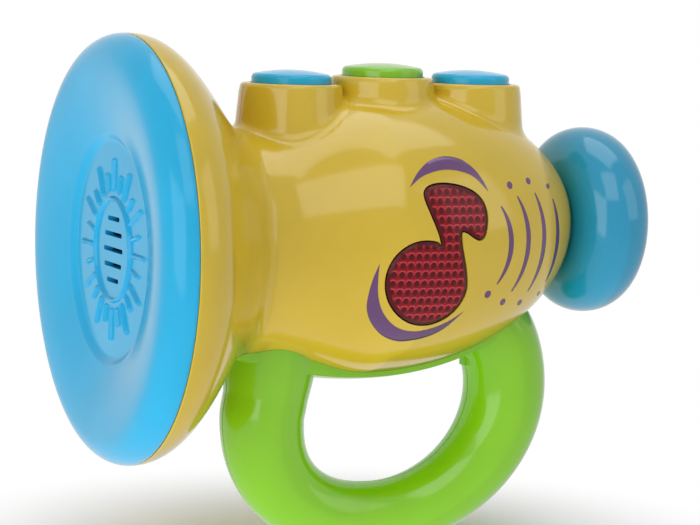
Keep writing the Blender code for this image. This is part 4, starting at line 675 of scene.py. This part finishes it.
def patch(stations, heights, counts):
    """A grid between two stations and two heights, and the distance from each of its places to its border."""
    across, up = np.meshgrid(np.linspace(*stations, counts[0]), np.linspace(*heights, counts[1]), indexing="ij")
    border = np.minimum.reduce([across - stations[0], stations[1] - across, up - heights[0], heights[1] - up])
    return across, up, border


def on_near_side(station, height, lift):
    """Places over the near side's surface, lifted from it square to the body's axis."""
    reach = body_radius(station) + lift
    side = -np.sqrt(np.clip(reach * reach - (height - axis_rise(station)) ** 2, 0, None))
    return at(station, side, height)


def slab(name, front, back):
    """A closed solid between two equal grids of points, joined round their border."""
    rows, columns = front.shape[:2]
    index = np.arange(rows * columns).reshape(rows, columns)
    a, b, c, d = index[:-1, :-1], index[1:, :-1], index[1:, 1:], index[:-1, 1:]
    quads = np.stack([a, b, c, d], -1).reshape(-1, 4)
    total = rows * columns
    border = np.concatenate([index[0, :-1], index[:-1, -1], index[-1, :0:-1], index[:0:-1, 0]])
    after = np.roll(border, -1)
    walls = np.stack([border, after, after + total, border + total], -1)
    faces = quads.tolist() + (quads[:, ::-1] + total).tolist() + walls.tolist()
    return new_piece(name, np.vstack([front.reshape(-1, 3), back.reshape(-1, 3)]), faces)


def both(nodes, links, first, other):
    """The product of two shares."""
    product = nodes.new("ShaderNodeMath")
    product.operation = "MULTIPLY"
    links.new(first, product.inputs[0])
    links.new(other, product.inputs[1])
    return product.outputs["Value"]


def window_red(name, deep, middle, painted_highlight_red):
    """Clear red plastic, smooth outside, over rows of round cells that are moulded into its back.

    Each cell is dark in the middle, with a painted highlight along its upper edge. The plain rim stays deep red.
    """
    material, nodes, links, shader, place = shading(name)
    lay = nodes.new("ShaderNodeMapping")
    lay.inputs["Scale"].default_value = (1 / CELL_PITCH[0], 1, 1 / CELL_PITCH[1])
    lay.inputs["Rotation"].default_value = (math.pi / 2, 0, 0)
    links.new(place, lay.inputs["Vector"])
    cell = nodes.new("ShaderNodeTexVoronoi")
    cell.voronoi_dimensions = "2D"
    cell.inputs["Scale"].default_value = 1
    cell.inputs["Randomness"].default_value = 0
    links.new(lay.outputs["Vector"], cell.inputs["Vector"])
    out = cell.outputs["Distance"]
    offset = nodes.new("ShaderNodeVectorMath")
    offset.operation = "SUBTRACT"
    links.new(lay.outputs["Vector"], offset.inputs[0])
    links.new(cell.outputs["Position"], offset.inputs[1])
    parts = nodes.new("ShaderNodeSeparateXYZ")
    links.new(offset.outputs["Vector"], parts.inputs["Vector"])
    # The brighter red where a cell's upper part meets its ring is a painted highlight in the base colour.
    above = ranged(nodes, links, parts.outputs["Y"], (0.15, -0.40), (0, 1))
    ring = shades(nodes, links, out, (0.32, (0, 0, 0)), (0.43, (1, 1, 1)), (0.58, (0.25, 0.25, 0.25)))
    depth = nodes.new("ShaderNodeAttribute")
    depth.attribute_name = "rim_depth"
    lit, whole = nodes.new("ShaderNodeMix"), nodes.new("ShaderNodeMix")
    lit.data_type = whole.data_type = "RGBA"
    lit.inputs["B"].default_value = (*painted_highlight_red, 1)
    whole.inputs["A"].default_value = (*deep, 1)
    links.new(both(nodes, links, above, ring), lit.inputs["Factor"])
    links.new(shades(nodes, links, out, (0.26, deep), (0.44, middle)), lit.inputs["A"])
    links.new(ranged(nodes, links, depth.outputs["Fac"], RIM_DEPTHS, (0, 1)), whole.inputs["Factor"])
    links.new(lit.outputs["Result"], whole.inputs["B"])
    links.new(whole.outputs["Result"], shader.inputs["Base Color"])
    bumped(nodes, links, shader, out, 0.5, 0.0008).invert = True
    shader.inputs["Roughness"].default_value = 0.30
    shader.inputs["Specular IOR Level"].default_value = 0.05
    shader.inputs["Transmission Weight"].default_value = 0.05
    shader.inputs["Coat Weight"].default_value = 0.25
    shader.inputs["Coat Roughness"].default_value = 0.04
    return material


across, up, _ = patch((0.0725, 0.1115), (-0.0240, 0.0265), (120, 150))
depth = loop_distance(np.stack([across.ravel(), up.ravel()], -1), window_outline(0)).reshape(across.shape)
crown = WINDOW_RISE - 0.0006 * (1 - ease(np.clip(depth / 0.0013, 0, 1)))
lens = slab("note_window", on_near_side(across, up, crown), on_near_side(across, up, -WALL))
solid_steps(lens, ("INTERSECT", outline_prism("lens_space", window_outline(-0.0001), -REACH, -0.015)))
points = np.empty(len(lens.data.vertices) * 3)
lens.data.vertices.foreach_get("co", points)
points = points.reshape(-1, 3)[:, ::2] - (SEAM_X, AXIS_Z)
rim_depth = lens.data.attributes.new("rim_depth", "FLOAT", "POINT")
rim_depth.data.foreach_set("value", loop_distance(points, window_outline(0)))
# The last colour is the cells' painted highlight.
red = window_red("red_window_clear", (0.095, 0.0005, 0.002), (0.25, 0.002, 0.008), (0.68, 0.055, 0.085))
dress(smooth(lens, 40), red, "trumpet", "red_lens", "note_lens")


# Purple figures are pad-printed on the near side in one thin layer of ink. Two crescents frame the note window,
# and plain arcs, like sound that spreads, run from it towards the mouthpiece with round dots past their ends.

INK = (0.130, 0.045, 0.165)
INK_LIFT = 0.00007
SOUND_MIDDLE = (98.0, 4.0)
SOUND_ARCS = ((22.0, 36), (30.0, 32), (38.0, 26), (46.0, 18))
ARC_WIDTH = 2.1
ARC_END_WIDTH = 0.5
DOT_RADII = (1.3, 1.2, 1.1, 0.9)
DOT_SPACE = 4.5


def printed(name, one, other, strips=3):
    """A thin layer of ink between two curves of (station, height) pairs in millimetres, laid on the body."""
    share = np.linspace(0, 1, strips + 1)[:, None, None]
    grid = (one[None] * (1 - share) + other[None] * share) / 1000
    front = on_near_side(grid[..., 0], grid[..., 1], INK_LIFT)
    back = on_near_side(grid[..., 0], grid[..., 1], -0.0001)
    return slab(name, front, back)


def sound_arc(name, radius, half_turn, steps=48):
    """Ink along an arc about the sound's middle; its width is a parabola along it, widest halfway."""
    share = np.linspace(-1, 1, steps + 1)
    half_width = (ARC_END_WIDTH + (ARC_WIDTH - ARC_END_WIDTH) * (1 - share * share)) / 2
    angle = np.radians(half_turn * share)
    away = np.stack([np.cos(angle), np.sin(angle)], axis=-1)
    outer, inner = [SOUND_MIDDLE + (radius + side * half_width)[:, None] * away for side in (1, -1)]
    return printed(name, outer, inner)


def dot(name, radius, turn, size):
    """A round dot at a distance and an angle from the sound's middle: ink between the halves of a circle."""
    middle = arc(SOUND_MIDDLE, (radius, radius), turn, turn, 1)[0]
    return printed(name, arc(middle, (size, size), 180, 0, 16), arc(middle, (size, size), 180, 360, 16))


def crescent(name, outer, inner):
    """Ink between an outer and an inner curve that share both tips."""
    tips = np.array(outer, float)
    inner_points = np.vstack([tips[:1], inner, tips[-1:]])
    return printed(name, *[evenly(through(curve, 12), 60) for curve in (tips, inner_points)])


prints = [
    crescent("print_crescent_upper",
             [(81.9, 23.3), (85.4, 27.6), (90.2, 31.2), (95.1, 32.8), (99.2, 32.9), (103.4, 31.7), (107.2, 28.8),
              (109.6, 25.4), (111.2, 21.7)],
             [(86.5, 26.4), (91.2, 28.1), (95.8, 28.8), (100.3, 28.5), (104.7, 27.3), (107.9, 25.2)]),
    crescent("print_crescent_lower",
             [(71.3, -1.0), (69.8, -5.7), (69.1, -11.0), (69.5, -16.1), (72.1, -21.0), (76.9, -25.4), (82.9, -27.7),
              (88.8, -27.6), (94.3, -26.3), (99.3, -23.5), (104.6, -17.8)],
             [(71.3, -5.6), (72.0, -11.0), (74.0, -16.0), (77.5, -20.2), (82.1, -23.1), (87.9, -24.3), (93.6, -23.5),
              (99.3, -21.3)]),
]
for index, (radius, half_turn) in enumerate(SOUND_ARCS):
    prints.append(sound_arc(f"print_arc_{index + 1}", radius, half_turn))
    past = half_turn + math.degrees(DOT_SPACE / radius)
    for word, turn in (("upper", past), ("lower", -past)):
        if (index, word) != (0, "upper"):
            prints.append(dot(f"print_dot_{word}_{index + 1}", radius, turn, DOT_RADII[index]))
ink = moulded("purple_ink_printed", INK, 0.22, mottle=0.06)
for one in prints:
    dress(smooth(one, 60), ink, "trumpet", "yellow_plastic")


# Three push keys, blue, green and blue, are domed caps that slide in the towers' bores. Each presses a spring
# and the stem of its switch, and its edge is rounded to suit a finger.

KEY_COLOURS = (blue, green, blue)
KEY_SLOTS = ("blue_plastic", "green_plastic", "blue_plastic")

for index in range(3):
    radius, top = KEY_RADII[index], TOWER_TOPS[index] + 0.0044
    edge = arc((radius - 0.0016, top - 0.0012 - 0.0016), (0.0016, 0.0016), 0, 80, 9)
    share = np.linspace(0.94, 0.03, 16)
    dome = np.stack([(radius - 0.0016) * share, top - 0.0012 * share * share], -1)
    skirt_top, skirt_bottom = TOWER_TOPS[index] - 0.0023, TOWER_TOPS[index] - 0.0039
    ceiling = top - 0.0012 - 0.0018
    stem = [(0.0004, 0.0459), (0.0034, 0.0459), (0.0034, ceiling), (radius - 0.0018, ceiling),
            (radius - 0.0018, skirt_bottom), (radius + 0.0008, skirt_bottom), (radius + 0.0008, skirt_top),
            (radius, skirt_top)]
    key = lathe(f"key_cap_{index + 1}", np.vstack([stem, edge, dome]), at(TOWER_STATIONS[index], 0, 0), "Z", 112)
    node = f"push_key_{index + 1}"
    dress(smooth(key, 32), KEY_COLOURS[index], node, KEY_SLOTS[index], node)


# The battery cover is a yellow panel cut to the belly's own curve on the far side, held by one captive screw.
# Three sunk grooves at its bell end give a finger hold for lifting it off.

COVER_GROOVES = (0.0690, 0.0725, 0.0760)
COVER_SCREW_STATION = 0.1275
COVER_SCREW_LENGTH = 0.010


def on_far_side(station, height, lift):
    """Places over the far side's surface, lifted from it square to the body's axis."""
    return on_near_side(station, height, lift) * np.array([1, -1, 1])


across, up, edge_distance = patch(COVER_STATIONS, COVER_HEIGHTS, (140, 62))
lift = -0.0004 * (1 - ease(np.clip(edge_distance / 0.0006, 0, 1)))
for groove in COVER_GROOVES:
    along_groove = np.clip((0.0080 - np.abs(up - 0.00445)) / 0.0010, 0, 1)
    lift -= 0.0005 * ease(np.clip(1 - np.abs(across - groove) / 0.0010, 0, 1)) * ease(along_groove)
cover = slab("battery_cover_panel", on_far_side(across, up, lift), on_far_side(across, up, -WALL))
cover_height = float(axis_rise(0.092))
cover_seat = float(body_radius(np.array(COVER_SCREW_STATION))) - 0.0042
cover_bore = screw_bore("cover_bore", COVER_SCREW_STATION, cover_height, cover_seat, COVER_SCREW_LENGTH)
solid_steps(cover, ("DIFFERENCE", cover_bore))
dress(smooth(cover), yellow, "trumpet", "yellow_plastic", "battery_cover")


# The power knob is a small black slider with three grip ridges, in a slot beside the battery cover. It slides
# 4 mm from off to on over the switch inside.

black = moulded("black_plastic_moulded", (0.018, 0.018, 0.02), 0.32, mottle=0.1, peel=0.05)
knob_outer = float(body_radius(np.array(KNOB_MIDDLE))) + 0.0016
heights = (knob_height - KNOB_HALF_HEIGHT, knob_height + KNOB_HALF_HEIGHT)
across, up, edge_distance = patch((0.0463, 0.0517), heights, (60, 30))
ridges = 0.00035 * (0.5 + 0.5 * np.cos((across - KNOB_MIDDLE) / 0.0014 * math.tau))
drop = 0.0005 * (1 - ease(np.clip(edge_distance / 0.0006, 0, 1))) + ridges * (edge_distance > 0.0002)
knob = slab("power_slider", at(across, knob_outer - drop, up), at(across, 0.0336 + 0 * drop, up))
plate = block("slider_plate", (0.045, 0.053), (0.033, 0.0342), (knob_height - 0.004, knob_height + 0.004))
solid_steps(knob, ("UNION", plate))
dress(smooth(knob, 40), black, "power_knob", "black_plastic", "power_knob")


# Steel screws with a crossed recess hold the body's halves, the ring handle's halves and the battery cover.
# All of them go in from the far side and sit at the bottom of deep bores.

def metal(name, colour, roughness, grain):
    """Bright metal with fine streaks in its gloss, as turned or rolled metal has."""
    material, nodes, links, shader, place = shading(name)
    shader.inputs["Metallic"].default_value = 1.0
    streaks = noise(nodes, links, place, grain, 8)
    dull = [c * 0.82 for c in colour]
    links.new(shades(nodes, links, streaks, (0, dull), (1, colour)), shader.inputs["Base Color"])
    gloss = ranged(nodes, links, streaks, (0, 1), (roughness * 0.7, roughness * 1.4))
    links.new(gloss, shader.inputs["Roughness"])
    bumped(nodes, links, shader, streaks, 0.08, 0.0002)
    return material


steel = metal("steel_zinc_plated", (0.66, 0.66, 0.68), 0.28, 900)


def screw(name, station, height, seat, length):
    """A pan-head screw along Y: a pointed shank, a rounded head and a crossed recess."""
    low = seat + GAP
    head = arc((0.0015, low + 0.0009), (0.0014, 0.0011), 0, 88, 8)
    profile = [(0.0002, seat - length), (0.0015, seat - length + 0.0018), (0.0015, low), (0.0029, low)]
    made = lathe(name, np.vstack([profile, head, [(0.0003, low + 0.0020)]]), at(station, 0, height), "Y", 40)
    top = (low + 0.0008, low + 0.0040)
    one = block("recess_a", (station - 0.0017, station + 0.0017), top, (height - 0.00035, height + 0.00035))
    other = block("recess_b", (station - 0.00035, station + 0.00035), top, (height - 0.0017, height + 0.0017))
    return solid_steps(made, ("DIFFERENCE", one), ("DIFFERENCE", other))


screws = []
for word, spots, seat_side, length in (("case", case_screw_places(), CASE_SEAT, CASE_SCREW_LENGTH),
                                       ("handle", handle_screws, HANDLE_SEAT, HANDLE_SCREW_LENGTH)):
    screws += [(f"{word}_screw_{index + 1}", *spot, seat_side, length) for index, spot in enumerate(spots)]
screws.append(("cover_screw", COVER_SCREW_STATION, cover_height, cover_seat, COVER_SCREW_LENGTH))
for node, station, height, seat_side, length in screws:
    made = screw(f"steel_{node}", station, height, seat_side, length)
    dress(smooth(made, 35), steel, "trumpet", "steel", node)


# The key springs are coils of steel wire with closed ends. Each stands on the key board round its key's stem,
# pushes the key back up, and shortens by the key's 3 mm when it is pressed.

SPRING_RADIUS = 0.0070
SPRING_WIRE = 0.0005
SPRING_CLOSED_PITCH = 0.0011


def coil(name, station, low, high, facets=8, steps=24):
    """Wire along a helix of six turns, whose first and last lie flat, with its round section square to it."""
    turned = np.linspace(0, 6, 6 * steps + 1)
    angle = (turned * math.tau)[:, None]
    low, high = low + SPRING_WIRE, high - SPRING_WIRE
    heights = (low, low + SPRING_CLOSED_PITCH, high - SPRING_CLOSED_PITCH, high)
    height = np.interp(turned, (0, 1, 5, 6), heights)[:, None]
    climb = np.arctan(np.gradient(height, axis=0) / (SPRING_RADIUS * math.tau / steps))
    around = np.arange(facets) * math.tau / facets
    out, up = SPRING_WIRE * np.cos(around), SPRING_WIRE * np.sin(around)
    reach, slip = SPRING_RADIUS + out, -up * np.sin(climb)
    side = reach * np.sin(angle) + slip * np.cos(angle)
    forth = reach * np.cos(angle) - slip * np.sin(angle)
    rows = np.stack([SEAM_X + station + forth, side, height + up * np.cos(climb)], axis=-1)
    return skin(name, rows, flat_ends=True)


for index in range(3):
    node = f"key_spring_{index + 1}"
    low, high = (float(corner[2]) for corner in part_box(node))
    made = coil(f"coil_spring_{index + 1}", TOWER_STATIONS[index], low, high)
    dress(smooth(made, 50), steel, "trumpet", "steel", node)
    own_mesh(made)


# Inside are the speaker, the lamps with their white light box, the key switches on their board, the battery
# tray with two cells and their contacts, the sound board and the leads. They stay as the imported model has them.

def speckled(name, colour, other, scale, roughness, bump_strength, weave=None):
    """A matt surface of two shades mixed by fine noise, or by waves where the stuff has a direction."""
    material, nodes, links, shader, place = shading(name)
    shader.inputs["Roughness"].default_value = roughness
    pattern = nodes.new("ShaderNodeTexWave" if weave else "ShaderNodeTexNoise")
    pattern.inputs["Scale"].default_value = scale
    if weave:
        pattern.bands_direction = weave
        pattern.inputs["Distortion"].default_value = 1.5
    links.new(place, pattern.inputs["Vector"])
    mix = pattern.outputs["Fac"]
    links.new(shades(nodes, links, mix, (0.35, colour), (0.65, other)), shader.inputs["Base Color"])
    bumped(nodes, links, shader, mix, bump_strength, 0.0003)
    return material


white = moulded("white_plastic_moulded", (0.82, 0.82, 0.80), 0.35)
lamp = moulded("lamp_clear_red", (0.85, 0.12, 0.10), 0.08, clear=0.4)
board = speckled("board_green_lacquer", (0.02, 0.16, 0.06), (0.05, 0.26, 0.10), 260, 0.35, 0.15, "X")
magnet = metal("magnet_ferrite", (0.13, 0.13, 0.14), 0.45, 1500)
paper = speckled("speaker_paper", (0.035, 0.035, 0.037), (0.07, 0.07, 0.07), 1400, 0.85, 0.35)
cell_wrap = speckled("cell_shrink_wrap", (0.10, 0.11, 0.13), (0.13, 0.14, 0.17), 500, 0.25, 0.05)
red_wire = speckled("wire_red_pvc", (0.50, 0.012, 0.012), (0.60, 0.02, 0.02), 900, 0.4, 0.05)
black_wire = speckled("wire_black_pvc", (0.015, 0.015, 0.015), (0.03, 0.03, 0.03), 900, 0.4, 0.05)
materials_inside = {
    steel: ("speaker_frame", "speaker_screw_1", "speaker_screw_2", "speaker_screw_3", "contact_positive",
            "contact_negative", "contact_bridge", "power_switch", "capacitor"),
    magnet: ("speaker_magnet",),
    paper: ("speaker_cone",),
    white: ("speaker_retainer", "lamp_reflector"),
    lamp: ("window_lamp_1", "window_lamp_2"),
    board: ("lamp_board", "key_board", "sound_board"),
    black: ("key_switch_1", "key_switch_2", "key_switch_3", "battery_tray", "sound_chip"),
    cell_wrap: ("cell_upper", "cell_lower"),
    red_wire: ("speaker_lead_red", "battery_lead_red", "switch_lead_red", "lamp_lead"),
    black_wire: ("speaker_lead_black", "battery_lead_black", "key_lead"),
}
for material, names in materials_inside.items():
    for name in names:
        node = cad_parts[name]
        node.data.materials.clear()
        node.data.materials.append(material)


# The studio: a sheet of white paper, evenly lit from below as on a light table, that keeps the trumpet's shadow,
# a white background, and broad soft boxes above, at the front and at both sides, as for a catalogue picture.

def either(nodes, links, first, *others):
    """The largest of several shares."""
    for other in others:
        largest = nodes.new("ShaderNodeMath")
        largest.operation = "MAXIMUM"
        links.new(first, largest.inputs[0])
        links.new(other, largest.inputs[1])
        first = largest.outputs["Value"]
    return first


def light_table(name, colour, near, far, from_below):
    """White paper that takes the trumpet's shadow, and turns plain white to the eye away from the trumpet.

    What it sends up to the trumpet is even, because the table under it is lit.
    """
    material, nodes, links, shader, place = shading(name)
    shader.inputs["Base Color"].default_value = (*colour, 1)
    shader.inputs["Roughness"].default_value = 0.9
    shader.inputs["Specular IOR Level"].default_value = 0.1
    length = nodes.new("ShaderNodeVectorMath")
    length.operation = "LENGTH"
    links.new(place, length.inputs[0])
    away = nodes.new("ShaderNodeMapRange")
    away.interpolation_type = "SMOOTHSTEP"
    away.inputs["From Min"].default_value = near
    away.inputs["From Max"].default_value = far
    links.new(length.outputs["Value"], away.inputs["Value"])
    path = nodes.new("ShaderNodeLightPath")
    seen = either(nodes, links, path.outputs["Is Camera Ray"], path.outputs["Is Transmission Ray"])
    seen = both(nodes, links, away.outputs["Result"], seen)
    white, lit = nodes.new("ShaderNodeEmission"), nodes.new("ShaderNodeEmission")
    lit.inputs["Strength"].default_value = from_below
    surface = shader.outputs["BSDF"]
    for share, light in ((either(nodes, links, seen, path.outputs["Is Glossy Ray"]), white),
                         (path.outputs["Is Diffuse Ray"], lit)):
        mixed = nodes.new("ShaderNodeMixShader")
        links.new(share, mixed.inputs["Fac"])
        links.new(surface, mixed.inputs[1])
        links.new(light.outputs["Emission"], mixed.inputs[2])
        surface = mixed.outputs["Shader"]
    links.new(surface, nodes["Material Output"].inputs["Surface"])
    return material


floor_mesh = bpy.data.meshes.new("floor")
corners = [(-6.0, -0.30, 0.0), (6.0, -0.30, 0.0), (6.0, 6.0, 0.0), (-6.0, 6.0, 0.0)]
floor_mesh.from_pydata(corners, [], [(0, 1, 2, 3)])
floor = placed("floor", floor_mesh)
floor_mesh.materials.append(light_table("floor_paper", (0.90, 0.90, 0.90), 0.05, 0.16, 1.38))

world = bpy.data.worlds.new("studio")
bpy.context.scene.world = world
world.use_nodes = True
nodes, links = world.node_tree.nodes, world.node_tree.links
background = nodes["Background"]
background.inputs["Color"].default_value = (1, 1, 1, 1)
background.inputs["Strength"].default_value = 0.18
backdrop = nodes.new("ShaderNodeBackground")
backdrop.inputs["Color"].default_value = (1, 1, 1, 1)
backdrop.inputs["Strength"].default_value = 1.0
path = nodes.new("ShaderNodeLightPath")
shown = either(nodes, links, *[path.outputs[f"Is {kind} Ray"] for kind in ("Camera", "Glossy", "Transmission")])
mix = nodes.new("ShaderNodeMixShader")
links.new(shown, mix.inputs["Fac"])
links.new(background.outputs["Background"], mix.inputs[1])
links.new(backdrop.outputs["Background"], mix.inputs[2])
links.new(mix.outputs["Shader"], nodes["World Output"].inputs["Surface"])


def panel(name, place, target, width, height, power):
    """A soft box at a place, turned to face a target."""
    light = bpy.data.lights.new(name, "AREA")
    light.shape = "RECTANGLE"
    light.size, light.size_y, light.energy = width, height, power
    made = placed(name, light)
    direction = np.array(target, float) - np.array(place, float)
    away = -direction / np.linalg.norm(direction)
    side = np.cross((0, 0, 1), away)
    side /= np.linalg.norm(side)
    upright = np.cross(away, side)
    turned = np.eye(4)
    turned[:3, 0], turned[:3, 1], turned[:3, 2], turned[:3, 3] = side, upright, away, place
    made.matrix_world = Matrix(turned.tolist())
    return made


middle = (0.0, 0.0, 0.09)
panel("panel_front_top", (-0.15, -0.77, 0.90), middle, 0.75, 0.7, 3.0)
panel("panel_top", (0.15, 0.10, 1.25), middle, 1.0, 0.8, 4.6)
panel("panel_left", (-1.00, -0.68, 0.25), middle, 1.0, 1.0, 6.2)
panel("panel_right", (0.80, -0.75, 0.55), middle, 0.6, 0.8, 1.7)

camera_data = bpy.data.cameras.new("camera")
camera_data.lens = 128.94
camera_data.sensor_width = 36
camera = placed("camera", camera_data)
right = (0.90740454, -0.41916291, 0.03032246)
down = (-0.01750554, -0.10978808, -0.99380085)
forward = (0.4198935, 0.9012486, -0.10695988)
turned = np.eye(4)
turned[:3, 0], turned[:3, 1], turned[:3, 2] = right, -np.array(down), -np.array(forward)
turned[:3, 3] = (-0.360856, -0.763516, 0.189826)
camera.matrix_world = Matrix(turned.tolist())
bpy.context.scene.camera = camera
bpy.context.scene.view_settings.view_transform = "Standard"
